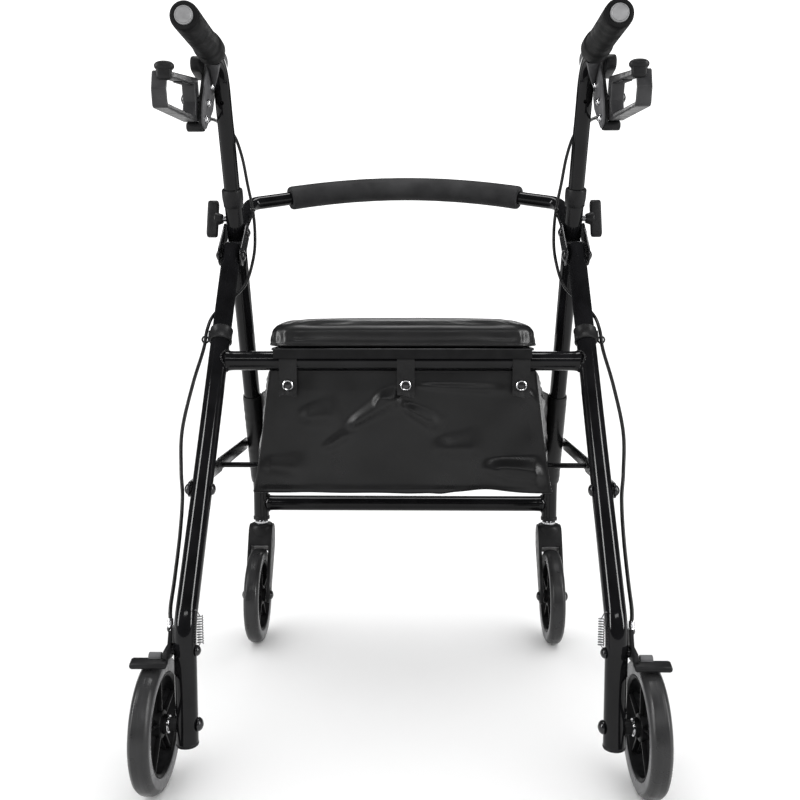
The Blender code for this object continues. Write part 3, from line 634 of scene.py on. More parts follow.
def rear_leg(side):
    x = side * SIDE_X
    top = Vector((x, PIVOT_Y, PIVOT_Z)) + REAR_UP * 0.0135
    path = fillet([top, (x, REAR_AXLE_Y, REAR_BEND_Z), (x, REAR_AXLE_Y, REAR_LEG_BOTTOM_Z)], 0.07, steps=12)
    name = side_name("rear_leg", side)
    piece(sweep(name + "_tube", path, TUBE_R, PAINT), "rear_frame", "gloss_black_paint", name)
    cap = [
        (0, -0.0012), (0.0105, -0.0012), (0.0122, -0.0004), (0.0130, 0.0010), (0.0130, 0.0030),
        (0.0126, 0.0036), (0, 0.0036),
    ]
    foot = lathe(name + "_cap", cap, (x, REAR_AXLE_Y, REAR_LEG_BOTTOM_Z), UP, PLASTIC)
    piece(foot, "rear_frame", "dark_plastic")

    name = side_name("cable_clip", side)
    clip_z = 0.512
    centre = Vector((x, rear_y(clip_z), clip_z))
    ring = [
        (TUBE_R + 0.0001, -0.0100), (0.0146, -0.0100), (0.0151, -0.0094), (0.0151, -0.0072),
        (0.0146, -0.0064), (0.0146, 0.0064), (0.0151, 0.0072), (0.0151, 0.0094), (0.0146, 0.0100),
        (TUBE_R + 0.0001, 0.0100),
    ]
    clip = lathe(name + "_ring", ring, centre, REAR_UP, PLASTIC)
    nub = slab(name + "_nub", [(centre.y - 0.001, clip_z - 0.003, 0.0055),
                               (centre.y + 0.001, clip_z + 0.003, 0.0045)],
               x + side * 0.013, x + side * 0.0165, PLASTIC, 0.0010)
    loop = ring_points(Vector((x + side * 0.0203, centre.y - 0.004, clip_z - 0.005)), ALONG_X, UP, 0.0043, 20)
    loop = sweep(name + "_loop", loop, 0.0012, PLASTIC, 12, closed=True)
    piece(merge(name + "_clip", [clip, nub, loop]), "rear_frame", "dark_plastic", name)


def weld_bead(name, centre, side, bar_r, leg_up, body):
    """The rough ring of weld where a bar meets a leg."""
    points, radii = [], []
    steps = 96
    across = Vector((0, leg_up.z, -leg_up.y))
    for k in range(steps):
        a = math.tau * k / steps
        offset = 0.82 * bar_r * math.sin(a)
        depth = math.sqrt(max(TUBE_R**2 - offset**2, 0))
        out = ALONG_X * (side * (depth + 0.0003))
        points.append(centre + leg_up * (bar_r * math.cos(a)) + across * offset - out)
        scale = 0.5 + 0.5 * math.sin(a * 22 + 2.5 * ripple(a * 3, side, 0))
        radii.append(0.0011 + 0.0008 * scale)
    made = sweep(name, points, radii, PAINT, 10, closed=True, angle=60)
    piece(made, body, "gloss_black_paint")


def welded_bar(node, body, leg_up, flare):
    """A bar between the legs: its ends flare into the welds."""
    centre = middle(node)
    radius = size(node).z / 2
    stations = ((0.0, 0.45), (0.0080, 0.75), (0.0125, 1.0 + flare), (0.0150, 1.0 + flare * 0.55),
                (0.0185, 1.0 + flare * 0.18), (0.0230, 1.0))
    points, radii = [], []
    for back, share in stations:
        points.append(Vector((-SIDE_X + back, centre.y, centre.z)))
        radii.append(radius * share)
    points += [Vector((-p.x, p.y, p.z)) for p in reversed(points)]
    radii += radii[::-1]
    piece(sweep(node + "_tube", points, radii, PAINT, 40, angle=50), body, "gloss_black_paint", node)
    for side in SIDES:
        meet = Vector((side * SIDE_X, centre.y, centre.z))
        weld_bead(side_name(node + "_weld", side), meet, side, radius * (1 + flare), leg_up, body)


def hinge_bar():
    low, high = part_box("seat_hinge_bar")
    y = (low.y + high.y) / 2
    radius = size("seat_hinge_bar").y / 2
    z = low.z + radius
    bar = rod("seat_hinge_bar_tube", (0.008 - SIDE_X, SIDE_X - 0.008), y, z, radius, PAINT)
    pin_z = high.z - 0.0055
    ears = [
        slab(side_name("seat_ear_plate", side), [(y, z, 0.008), (y, pin_z, 0.0055)],
             side * 0.1500, side * 0.1530, STEEL, 0.0004)
        for side in SIDES
    ]
    pins = [
        rod(side_name("seat_hinge_pin", side), (side * 0.1470, side * 0.1590), y, pin_z, 0.0026, STEEL, 16)
        for side in SIDES
    ]
    whole = merge("seat_hinge_bar_with_ears", [bar, *ears, *pins])
    piece(whole, "front_frame", "gloss_black_paint", "seat_hinge_bar")
    for side in SIDES:
        meet = Vector((side * SIDE_X, y, z))
        weld_bead(side_name("seat_hinge_bar_weld", side), meet, side, radius, UP_POST, "front_frame")


def fold_bracket(side):
    """Two plates on the front tube that carry the rear leg, with their bolts."""
    name = side_name("fold_bracket", side)
    x = side * SIDE_X
    bolt = (front_y(0.658), 0.658)
    outline = [(PIVOT_Y, PIVOT_Z, 0.0145), (*bolt, 0.0135)]
    plates = [
        slab(f"{name}_plate{way}", outline, x + way * 0.0145, x + way * 0.0165, STEEL, 0.0004)
        for way in SIDES
    ]
    pin_y, pin_z = (PIVOT_Y + bolt[0]) / 2, (PIVOT_Z + bolt[1]) / 2
    pin = rod(name + "_spacer", (x - 0.0150, x + 0.0150), pin_y, pin_z, 0.0035, STEEL, 20)
    heads = [dome_bolt(f"{name}_bolt{way}", (x + way * 0.0165, *bolt), (way, 0, 0), 0.0070, 0.0040)
             for way in SIDES]
    piece(merge(name + "_plates", [*plates, pin, *heads]), "front_frame", "black_zinc_steel", name)
    name = side_name("pivot_bolt", side)
    shaft = rod(name + "_shaft", (x - 0.017, x + 0.017), PIVOT_Y, PIVOT_Z, BOLT_R, STEEL, 20)
    heads = [dome_bolt(f"{name}_head{way}", (x + way * 0.0167, PIVOT_Y, PIVOT_Z), (way, 0, 0), 0.0077, 0.0044)
             for way in SIDES]
    piece(merge(name + "_whole", [shaft, *heads]), "front_frame", "black_zinc_steel", name)


BACK_CORNER = Vector((0.2370, 0.1850, 0.7090))
BACK_END = Vector((0.2400, 0.1035, 0.6560))
BACK_BAR_Z = 0.7405
BACK_BOW_Y = 0.2600
FOAM_HALF = 0.1790
BACK_TUBE_R = 0.0100
FOAM_R = 0.0178


def back_bar_path():
    steps = 36
    corner = BACK_CORNER
    low = corner + Vector((-0.022, 0.010, 0.003))
    bow = []
    for step in range(steps + 1):
        t = 2 * step / steps - 1
        rise = 1 - t * t
        bow.append(Vector((t * low.x, low.y + (BACK_BOW_Y - low.y) * rise,
                           low.z + (BACK_BAR_Z - low.z) * rise)))
    right = fillet([bow[-3], Vector((corner.x, corner.y + 0.003, corner.z)), BACK_END], 0.024, steps=12)[1:]
    left = [Vector((-p.x, p.y, p.z)) for p in reversed(right)]
    return [*left, *bow[2:-2], *right]


def back_bar():
    path = back_bar_path()
    piece(sweep("back_bar_tube", path, BACK_TUBE_R, PAINT), "front_frame", "gloss_black_paint", "back_bar")
    inside = [p for p in path if abs(p.x) < FOAM_HALF - 0.001]
    edge = min((p for p in path if p.x > FOAM_HALF), key=lambda p: p.x)
    last = inside[-1].lerp(edge, (FOAM_HALF - inside[-1].x) / (edge.x - inside[-1].x))
    points = [Vector((-last.x, last.y, last.z)), *inside, last]
    along = (points[-1] - points[-2]).normalized()
    rim_back, rim_radii = (0.0045, 0.0020, 0.0006), (FOAM_R, FOAM_R - 0.0004, FOAM_R - 0.0012)
    right_points = [last - along * back for back in rim_back]
    kept = [p for p in points[1:-1] if abs(p.x) < abs(right_points[0].x) - 0.001]
    left_points = [Vector((-p.x, p.y, p.z)) for p in reversed(right_points)]
    foam_points = [*left_points, *kept, *right_points]
    foam_radii = [*rim_radii[::-1], *[FOAM_R] * len(kept), *rim_radii]
    for i, p in enumerate(foam_points):
        foam_radii[i] += 0.00018 * noise.noise(p * 70)
    foam = sweep("back_foam_sleeve", foam_points, foam_radii, FOAM, 48)
    core = sweep("foam_core", path, BACK_TUBE_R + 0.0002, FOAM, 24)
    boolean(foam, core)
    piece(foam, "front_frame", "foam", "back_foam")


def front_frame():
    for side in SIDES:
        front_frame_tubes(side)
        fold_bracket(side)
    welded_bar("front_crossbar", "front_frame", UP, 0.06)
    hinge_bar()
    back_bar()


def rear_frame():
    for side in SIDES:
        rear_leg(side)
    welded_bar("rear_crossbar", "rear_frame", REAR_UP, 0.10)


# Wheels


def tyre(name, place, body, slot, node):
    """A solid tyre: flat tread with round shoulders, lighter sidewalls and an inner lip."""
    half, radius, inner = WHEEL_HALF, WHEEL_R, 0.0577
    profile = [
        (inner, half - 0.0022), (inner + 0.0010, half - 0.0012), (inner + 0.0030, half - 0.0009),
        (radius - 0.0100, half), (radius - 0.0066, half - 0.0003), (radius - 0.0034, half - 0.0018),
        (radius - 0.0012, half - 0.0046), (radius - 0.0005, half - 0.0060),
        (radius - 0.00065, half - 0.0068), (radius - 0.0001, half - 0.0080),
        (radius - 0.00025, half - 0.0090), (radius, half - 0.0104), (radius - 0.00015, half - 0.0114),
    ]
    profile += [(r, -h) for r, h in reversed(profile)]
    made = lathe(name, profile, place, (1, 0, 0), TREAD, steps=96, angle=50)
    made.data.materials.append(SIDEWALL)
    for face in made.data.polygons:
        centre = face.center - Vector(place)
        if math.hypot(centre.y, centre.z) < radius - 0.0060:
            face.material_index = 1
    made.data.update()
    return piece(made, body, slot, node)


def rim(name, place, body, slot, node):
    """A moulded rim: a channel ring, five ribbed spokes and a stepped hub."""
    outer, inner, half = 0.0575, 0.0532, 0.0102
    ring = [
        (outer, half), (outer - 0.0012, half + 0.0004), (inner + 0.0012, half - 0.0006),
        (inner, half - 0.0022), (inner, -half + 0.0022), (inner + 0.0012, -half + 0.0006),
        (outer - 0.0012, -half - 0.0004), (outer, -half),
    ]
    hub = [
        (0.0044, 0.0130), (0.0100, 0.0130), (0.0108, 0.0122), (0.0112, 0.0090), (0.0150, 0.0080),
        (0.0158, 0.0070), (0.0158, -0.0070), (0.0150, -0.0080), (0.0112, -0.0090), (0.0108, -0.0122),
        (0.0100, -0.0130), (0.0044, -0.0130),
    ]
    origin = (0, 0, 0)
    made = [lathe(name + "_ring", ring, origin, ALONG_X, RIM, 80),
            lathe(name + "_hub", hub, origin, ALONG_X, RIM)]
    spokes, web_r, spoke_end = 5, 0.0100, inner + 0.0006
    for i in range(spokes):
        turn = math.tau * i / spokes + math.radians(90)
        y, z = math.cos(turn), math.sin(turn)
        end_y, end_z = spoke_end * y, spoke_end * z
        web = slab(f"{name}_web{i}", [(web_r * y, web_r * z, 0.0062), (end_y, end_z, 0.0044)],
                   -0.0020, 0.0020, RIM, 0.0005)
        rib = slab(f"{name}_rib{i}", [(0.0120 * y, 0.0120 * z, 0.0019), (end_y, end_z, 0.0015)],
                   -0.0070, 0.0070, RIM, 0.0005)
        made += [web, rib]
    whole = merge(name, made)
    whole.location = place
    return piece(whole, body, slot, node)


def axle_bolt(side):
    """The rear axle: domed head inside the leg, black spacer, and chrome washers and nuts at the hub."""
    name = side_name("rear_axle", side)
    y, z = REAR_AXLE_Y, WHEEL_R
    head = dome_bolt(name + "_head", (side * TUBE_INSIDE, y, z), (-side, 0, 0), 0.0080, 0.0062, socket=False)
    shaft = rod(name + "_shaft", (side * TUBE_INSIDE, side * 0.2930), y, z, BOLT_R, CHROME, 20)
    spacer = rod(name + "_spacer", (side * (TUBE_OUTSIDE - 0.002), side * 0.2618), y, z, 0.0082, PLASTIC, 28)
    washer = [(0.0042, 0), (0.0098, 0), (0.0100, 0.0003), (0.0100, 0.0012), (0.0042, 0.0012)]
    washers = [
        lathe(f"{name}_washer{i}", washer, (side * x, y, z), (side, 0, 0), CHROME, 32)
        for i, x in enumerate((0.2630, 0.2912))
    ]
    nut = hex_nut(name + "_nut", (side * 0.2622, y, z), side, 0.0080, 0.0030, CHROME)
    outer = hex_nut(name + "_outer_nut", (side * 0.2920, y, z), side, 0.0072, 0.0032, CHROME)
    piece(merge(name + "_whole", [head, shaft, spacer, *washers, nut, outer]), "rear_frame", "chrome", name)


def hex_nut(name, place, side, radius, height, material):
    outline = [
        (place[1] + radius * math.cos(math.tau * k / 6), place[2] + radius * math.sin(math.tau * k / 6))
        for k in range(6)
    ]
    return plate(name, outline, place[0], place[0] + side * height, material, 0.0006)


def caster_axle(side):
    name = side_name("caster_axle", side)
    x, y, z = side * SIDE_X, CASTER_AXLE_Y, WHEEL_R
    shaft = rod(name + "_shaft", (x - 0.0210, x + 0.0210), y, z, BOLT_R, CHROME, 20)
    inner = dome_bolt(name + "_inner", (x - side * 0.0205, y, z), (-side, 0, 0), 0.0078, 0.0048, socket=False)
    outer = dome_bolt(name + "_outer", (x + side * 0.0205, y, z), (side, 0, 0), 0.0084, 0.0062, socket=False)
    spacers = [
        rod(f"{name}_spacer{way}", (x + way * 0.0132, x + way * 0.0146), y, z, 0.0070, CHROME, 24)
        for way in SIDES
    ]
    whole = merge(name + "_whole", [shaft, inner, outer, *spacers])
    piece(whole, side_name("caster", side), "black_zinc_steel", name)


def caster_fork(side):
    """The moulded fork: a domed crown, a short bright stem and two trailing arms with a raised edge."""
    name = side_name("caster_fork", side)
    x = side * SIDE_X
    top = 0.1880
    arm_outline = [(STEM_Y - 0.001, top - 0.0340, 0.0185), (STEM_Y, top - 0.0200, 0.0185),
                   (CASTER_AXLE_Y, WHEEL_R, 0.0128)]
    body = slab(name + "_body", arm_outline, x - 0.0198, x + 0.0198, PLASTIC, 0)
    room_r = WHEEL_R + 0.0042
    boolean(body, rod(name + "_room", (x - 0.0146, x + 0.0146), CASTER_AXLE_Y, WHEEL_R, room_r, PLASTIC, 96))
    bevel(body, 0.0016, 3)
    smooth(body.data, 40)
    crown = [
        (0, top), (0.0130, top), (0.0170, top - 0.0010), (0.0192, top - 0.0035), (0.0200, top - 0.0080),
        (0.0200, top - 0.0190), (0.0190, top - 0.0230), (0, top - 0.0230),
    ]
    cap = lathe(name + "_crown", crown, (x, STEM_Y, 0), UP, PLASTIC, 56)
    stem = sweep(name + "_stem", [(x, STEM_Y, top - 0.002), (x, STEM_Y, 0.2200)], 0.0060, CHROME, 28)
    bearing = [
        (0.0061, 0), (0.0105, 0), (0.0110, 0.0006), (0.0110, 0.0034), (0.0105, 0.0040), (0.0061, 0.0040),
    ]
    bearing = lathe(name + "_bearing", bearing, (x, STEM_Y, top), UP, CHROME, 40)
    boss = [(0.0045, 0), (0.0118, 0), (0.0118, 0.0008), (0.0110, 0.0014), (0.0045, 0.0014)]
    bosses = [
        lathe(f"{name}_boss{way}", boss, (x + way * 0.0192, CASTER_AXLE_Y, WHEEL_R), (way, 0, 0), PLASTIC, 36)
        for way in SIDES
    ]
    whole = merge(name + "_whole", [body, cap, stem, bearing, *bosses])
    piece(whole, side_name("caster", side), "dark_plastic", name)


def wheels():
    for side in SIDES:
        rear = (side * REAR_WHEEL_X, REAR_AXLE_Y, WHEEL_R)
        front = (side * SIDE_X, CASTER_AXLE_Y, WHEEL_R)
        for end, place in (("rear", rear), ("caster", front)):
            body = side_name(end + "_wheel", side)
            for make, kind, slot in ((tyre, "tyre", "tyre"), (rim, "rim", "wheel_plastic")):
                name, node = side_name(f"{end}_wheel_{kind}", side), side_name(f"{end}_{kind}", side)
                make(name, place, body, slot, node)
        axle_bolt(side)
        caster_axle(side)
        caster_fork(side)


# Links


def links():
    for side in SIDES:
        ends = {"front_link": (front_y(LINK_Z), 0.2594, 0.2619),
                "rear_link": (rear_y(LINK_Z), 0.2565, 0.2590)}
        bodies = {"front_link": "front_links", "rear_link": side_name("rear_link", side)}
        for base, (end_y, low, high) in ends.items():
            name = side_name(base, side)
            bar = slab(name + "_bar", [(end_y, LINK_Z, 0.0095), (MID_HINGE_Y, LINK_Z, 0.0095)],
                       side * low, side * high, LINK_STEEL, 0.0005)
            piece(bar, bodies[base], "black_zinc_steel", name)
        hinge = dome_bolt(side_name("mid_hinge_bolt", side), (side * 0.2619, MID_HINGE_Y, LINK_Z),
                          (side, 0, 0), 0.0072, 0.0040)
        piece(hinge, "front_links", "black_zinc_steel")
        for base, y, body, inner in (
            ("rear_link_bolt", rear_y(LINK_Z), "rear_frame", 0.2590),
            ("front_link_bolt", front_y(LINK_Z), "front_frame", 0.2619)
        ):
            name = side_name(base, side)
            head = dome_bolt(name + "_head", (side * (TUBE_INSIDE + 0.0004), y, LINK_Z), (-side, 0, 0),
                             0.0072, 0.0045, socket=False)
            ends_x = (side * (TUBE_OUTSIDE - 0.002), side * (inner + 0.001))
            shaft = rod(name + "_shaft", ends_x, y, LINK_Z, 0.0045, STEEL, 20)
            nut = dome_bolt(name + "_nut", (side * inner, y, LINK_Z), (side, 0, 0),
                            0.0070, 0.0050, socket=False)
            piece(merge(name + "_whole", [head, shaft, nut]), body, "black_zinc_steel")
    low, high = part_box("fold_rod")
    bar = rod("fold_rod_bar", (low.x, high.x), MID_HINGE_Y, LINK_Z, size("fold_rod").z / 2, PAINT, 24)
    piece(bar, "front_links", "black_zinc_steel", "fold_rod")


# Handles and brakes


def superbox(name, centre, half, roundness, material):
    """A rounded box: from 2, an ellipsoid, up towards a plain box."""
    shape = bmesh.new()
    bmesh.ops.create_cube(shape, size=2)
    bmesh.ops.subdivide_edges(shape, edges=shape.edges, cuts=10, use_grid_fill=True)
    for vert in shape.verts:
        x, y, z = (abs(c) for c in vert.co)
        length = (x**roundness + y**roundness + z**roundness) ** (1 / roundness)
        vert.co = Vector(centre) + Vector(c * h for c, h in zip(vert.co / length, half))
    return from_bmesh(name, shape, material, 80)


def handle_path(side, steps=14):
    corner = on_post(side, (GRIP_Z - COLLAR_Z) / math.cos(FRONT_LEAN))
    back = (side * SIDE_X, GRIP_BACK_Y + 0.0070, GRIP_Z)
    return fillet([on_post(side, -0.170), corner, back], 0.060, steps)


def handle(side):
    body = side_name("handle", side)
    name = side_name("handle_post", side)
    post = sweep(name + "_tube", handle_path(side), POST_R, PAINT)
    spot = on_post(side, 0.115)
    hole = sweep(name + "_hole", [spot - ALONG_Y * 0.004, spot - ALONG_Y * 0.020], 0.0026, PAINT, 20)
    boolean(post, hole)
    piece(post, body, "gloss_black_paint", name)

    length = GRIP_FRONT_Y - GRIP_BACK_Y
    profile = [
        (POST_R + 0.0003, 0.0004), (0.0136, 0), (0.0153, 0.0005), (0.0163, 0.0018), (0.0168, 0.0044),
        (0.0170, 0.0120), (0.0169, 0.0300), (0.0167, 0.0550), (0.0166, 0.0800), (0.0167, 0.0980),
        (0.0169, 0.1060), (0.0173, 0.1100), (0.0181, 0.1122), (0.0184, 0.1160), (0.0185, 0.1260),
        (0.0182, length - 0.0045), (0.0170, length - 0.0014), (0.0154, length), (POST_R + 0.0003, length),
    ]
    name = side_name("grip", side)
    place = (side * SIDE_X, GRIP_BACK_Y, GRIP_Z)
    piece(lathe(name + "_sleeve", profile, place, (0, 1, 0), GRIP, 64), body, "grip_rubber", name)

    plug = [
        (0, 0.0002), (0.0084, 0), (0.0090, 0.0006), (0.0096, 0.0002), (0.0103, 0.0004), (0.0107, 0.0014),
        (0.0107, 0.0070), (0, 0.0070),
    ]
    name = side_name("grip_plug", side)
    place = (side * SIDE_X, GRIP_BACK_Y - 0.0010, GRIP_Z)
    piece(lathe(name + "_disc", plug, place, (0, 1, 0), PLUG, 56), body, "end_plug", name)


# The brake's outlines are (y, z) points or (y, z, radius) circles, and its X goes out from the middle
PLATE_X = (0.2546, 0.2574)
LEVER_X = (0.2628, 0.2798)
LEVER_PIVOT = (-0.0330, 0.8150)
CHEEK = (
    (0.0060, 0.8640, 0.0115), (0.0235, 0.8390, 0.0095), (0.0120, 0.8190, 0.0100),
    (-0.0240, 0.8080, 0.0130), (-0.0280, 0.7920, 0.0130),
)
PLATE_SCREWS = ((0.0085, 0.8410), (-0.0136, 0.8150), (-0.0275, 0.7915))


def housing(side):
    """The brake's body: a grey plate and saddle over the bend, a black shell outside it, and the screws."""
    name = side_name("brake_housing", side)
    s = side
    plate_made = slab(name + "_plate", CHEEK, s * PLATE_X[0], s * PLATE_X[1], GREY_PLASTIC, 0.0007)
    inner = [(y, z, r - 0.0016) for y, z, r in CHEEK]
    shell = slab(name + "_shell", inner, s * PLATE_X[1], s * 0.2622, PLASTIC, 0.0012)
    lug = [(-0.0200, 0.8620, 0.0105), (0.0040, 0.8600, 0.0115)]
    lug = slab(name + "_lug", lug, s * 0.2600, s * 0.2732, PLASTIC, 0.0024)
    bend = handle_path(side, 24)
    saddle = sweep(name + "_clamp", bend[1:21], [*[0.0142] * 18, 0.0138, 0.0130], GREY_PLASTIC, 48)
    trim = bmesh.new()
    trim.from_mesh(saddle.data)
    cut = bmesh.ops.bisect_plane(
        trim, geom=[*trim.verts, *trim.edges, *trim.faces],
        plane_co=(s * SIDE_X, 0, 0.8530), plane_no=(s * 1.6, 0, 1), clear_inner=True,
    )
    rim_edges = [g for g in cut["geom_cut"] if isinstance(g, bmesh.types.BMEdge)]
    bmesh.ops.holes_fill(trim, edges=rim_edges, sides=0)
    bmesh.ops.recalc_face_normals(trim, faces=trim.faces)
    trim.to_mesh(saddle.data)
    trim.free()
    boolean(saddle, sweep(name + "_bore", bend, POST_R + 0.0002, GREY_PLASTIC, 32))
    chin = [(-0.0300, 0.7815, 0.0062), (-0.0200, 0.7835, 0.0060)]
    chin = slab(name + "_chin", chin, s * PLATE_X[1], s * 0.2785, PLASTIC, 0.0020)
    barrel = [
        (0, 0), (0.0042, 0), (0.0042, 0.0050), (0.0034, 0.0056), (0.0034, 0.0110), (0.0042, 0.0116),
        (0.0042, 0.0150), (0, 0.0150),
    ]
    route = [Vector((s * x, y, z)) for x, y, z in CABLE_ROUTE[:2]]
    way = (route[1] - route[0]).normalized()
    barrel = lathe(name + "_barrel", barrel, route[0] - way * 0.0105, way, STEEL, 28)
    inward = (-s, 0, 0)
    screws = [
        dome_bolt(f"{name}_screw{i}", (s * PLATE_X[0], *place), inward, 0.0052, 0.0050, CHROME, socket=False)
        for i, place in enumerate(PLATE_SCREWS)
    ]
    pivot = dome_bolt(name + "_pivot", (s * 0.2799, *LEVER_PIVOT), (s, 0, 0), 0.0072, 0.0040)
    axle = rod(name + "_axle", (s * 0.2600, s * 0.2805), *LEVER_PIVOT, BOLT_R, STEEL, 20)
    whole = merge(name + "_whole", [plate_made, shell, lug, saddle, chin, barrel, *screws, pivot, axle])
    piece(whole, side_name("handle", side), "dark_plastic", name)


def lever(side):
    """The loop lever that fingers go through, with teeth under its rail and a thumb tab on its end."""
    name = side_name("brake_lever", side)
    outer = [(-0.1920, 0.7700), (-0.1962, 0.7900), (-0.1905, 0.8110), (-0.0290, 0.8430), (-0.0195, 0.8060),
             (-0.0290, 0.7880), (-0.0430, 0.7850)]
    inner = [(-0.1875, 0.7760), (-0.1915, 0.7905), (-0.1862, 0.8058), (-0.0480, 0.8305), (-0.0430, 0.8100),
             (-0.0480, 0.7915)]
    loops = []
    for loop, radius in ((outer, 0.0050), (inner, 0.0032)):
        loops.append([(p.x, p.y) for p in fillet([(y, z, 0) for y, z in loop], radius, 8, closed=True)])
    s = side
    made = plate(name + "_loop", loops[0], s * LEVER_X[0], s * LEVER_X[1], LEVER, 0)
    window = plate(name + "_window", loops[1], s * (LEVER_X[0] - 0.01), s * (LEVER_X[1] + 0.01), LEVER, 0)
    boolean(made, window)
    bevel(made, 0.0013, 3)
    smooth(made.data, 40)
    teeth = []
    rail_start, rail_end = Vector(inner[2]), Vector(inner[3])
    for k in range(7):
        y, z = rail_start.lerp(rail_end, 0.62 + 0.045 * k)
        teeth.append(slab(f"{name}_tooth{k}", [(y, z, 0.0016), (y - 0.0016, z - 0.0012, 0.0008)],
                          s * (LEVER_X[0] + 0.003), s * (LEVER_X[1] - 0.003), LEVER, 0))
    centre_x = s * 0.2655
    neck = superbox(name + "_neck", (centre_x, -0.1915, 0.8085), (0.0088, 0.0050, 0.0085), 3.4, PLASTIC)
    cap_at = (centre_x - s * 0.0004, -0.1920, 0.8150)
    cap = superbox(name + "_cap", cap_at, (0.0112, 0.0064, 0.0056), 2.3, PLASTIC)
    whole = merge(name + "_whole", [made, *teeth, neck, cap])
    for vert in whole.data.vertices:
        back = clamp((-0.050 - vert.co.y) / 0.140)
        vert.co.x -= s * 0.0032 * back
    piece(whole, side_name("lever", side), "lever_metal", name)


def knob(side):
    name = side_name("height_knob", side)
    z = 0.677
    y = front_y(z)
    s = side
    thread = [(0.0030, 0), (0.0042, 0)]
    for k in range(8):
        thread += [(0.0042, 0.0003 + k * 0.0011), (0.0036, 0.0008 + k * 0.0011)]
    thread += [(0.0042, 0.0100), (0.0030, 0.0100)]
    thread = [(0, 0), *thread[1:-1], (0, 0.0100)]
    screw = lathe(name + "_thread", thread, (s * 0.2540, y, z), (s, 0, 0), CHROME, 32)
    hub = [
        (0, 0), (0.0060, 0), (0.0068, 0.0008), (0.0078, 0.0040), (0.0092, 0.0078), (0.0096, 0.0100),
        (0.0090, 0.0112), (0, 0.0112),
    ]
    hub = lathe(name + "_hub", hub, (s * 0.2600, y, z), (s, 0, 0), PLASTIC, 40)
    wing = slab(name + "_wing", [(y - 0.0060, z - 0.0200, 0.0070), (y, z, 0.0056),
                                 (y + 0.0060, z + 0.0200, 0.0070)],
                s * 0.2672, s * 0.2822, PLASTIC, 0.0026)
    piece(merge(name + "_whole", [screw, hub, wing]), side_name("knob", side), "dark_plastic", name)


def shoe(side):
    """The brake arm beside the wheel: pivot boss, curved arm, knurled roller and the pad over the tyre."""
    name = side_name("brake_shoe", side)
    y, z = REAR_AXLE_Y, 0.1640
    s = side
    inside, outside = s * 0.2575, s * 0.2622
    cable_end = (y + 0.0060, z + 0.0220)
    arm = [(y, z, 0.0088), (y - 0.0195, z + 0.0005, 0.0062)]
    arm = slab(name + "_arm", arm, inside, outside, PLASTIC, 0.0012)
    horn = slab(name + "_horn", [(y, z, 0.0070), (*cable_end, 0.0048)], inside, outside, PLASTIC, 0.0012)
    pad = [(y - 0.0270, z - 0.0080, 0.0040), (y - 0.0205, z - 0.0060, 0.0042)]
    pad = slab(name + "_pad", pad, s * 0.2572, s * 0.2982, PLASTIC, 0.0028)
    lip = [(y - 0.0285, z - 0.0094, 0.0020), (y - 0.0270, z - 0.0080, 0.0030)]
    lip = slab(name + "_lip", lip, s * 0.2900, s * 0.2960, PLASTIC, 0.0010)
    teeth = 18
    roller_outline = []
    for k in range(teeth * 2):
        a = math.tau * k / (teeth * 2)
        r = 0.0050 if k % 2 else 0.0045
        roller_outline.append((y - 0.0180 + r * math.cos(a), z - 0.0010 + r * math.sin(a)))
    roller = plate(name + "_roller", roller_outline, s * 0.2645, s * 0.2785, GREY_PLASTIC, 0.0012, 3)
    pivot = dome_bolt(name + "_pivot", (s * 0.2620, y, z), (s, 0, 0), 0.0056, 0.0028)
    anchor = dome_bolt(name + "_anchor", (s * 0.2620, *cable_end), (s, 0, 0), 0.0040, 0.0026)
    whole = merge(name + "_whole", [arm, horn, pad, lip, roller, pivot, anchor])
    piece(whole, side_name("shoe", side), "dark_plastic", name)

    screw = dome_bolt(side_name("shoe_screw", side), (s * (TUBE_INSIDE + 0.0002), y, 0.1630), (-s, 0, 0),
                      0.0064, 0.0054, socket=False)
    boss_x = (s * (TUBE_OUTSIDE - 0.003), s * 0.2578)
    boss = rod(side_name("shoe_boss", side), boss_x, y, z, 0.0058, STEEL, 24)
    piece(merge(side_name("shoe_mount", side), [screw, boss]), "rear_frame", "black_zinc_steel")

    name = side_name("brake_spring", side)
    low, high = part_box(name)
    x, turns, wire, radius = (low.x + high.x) / 2, 11, 0.00062, size(name).x / 2 - 0.0008
    coil_low, coil_high = low.z + 0.002, high.z - 0.002
    coil = []
    steps = turns * 16
    for k in range(steps + 1):
        a = math.tau * turns * k / steps
        up = coil_low + (coil_high - coil_low) * k / steps
        coil.append(Vector((x + radius * math.cos(a), y + radius * math.sin(a), up)))
    coil = sweep(name + "_coil", coil, wire, SPRING_STEEL, 8)
    leg_x = s * (TUBE_INSIDE + 0.001)
    hooks = [
        sweep(f"{name}_hook{i}", [(x, y, z0), (x + s * 0.0035, y, z1), (leg_x, y, z1)], wire, SPRING_STEEL, 8)
        for i, (z0, z1) in enumerate(((low.z + 0.003, low.z - 0.0035), (high.z - 0.003, high.z + 0.004)))
    ]
    piece(merge(name + "_whole", [coil, *hooks]), "rear_frame", "chrome", name)


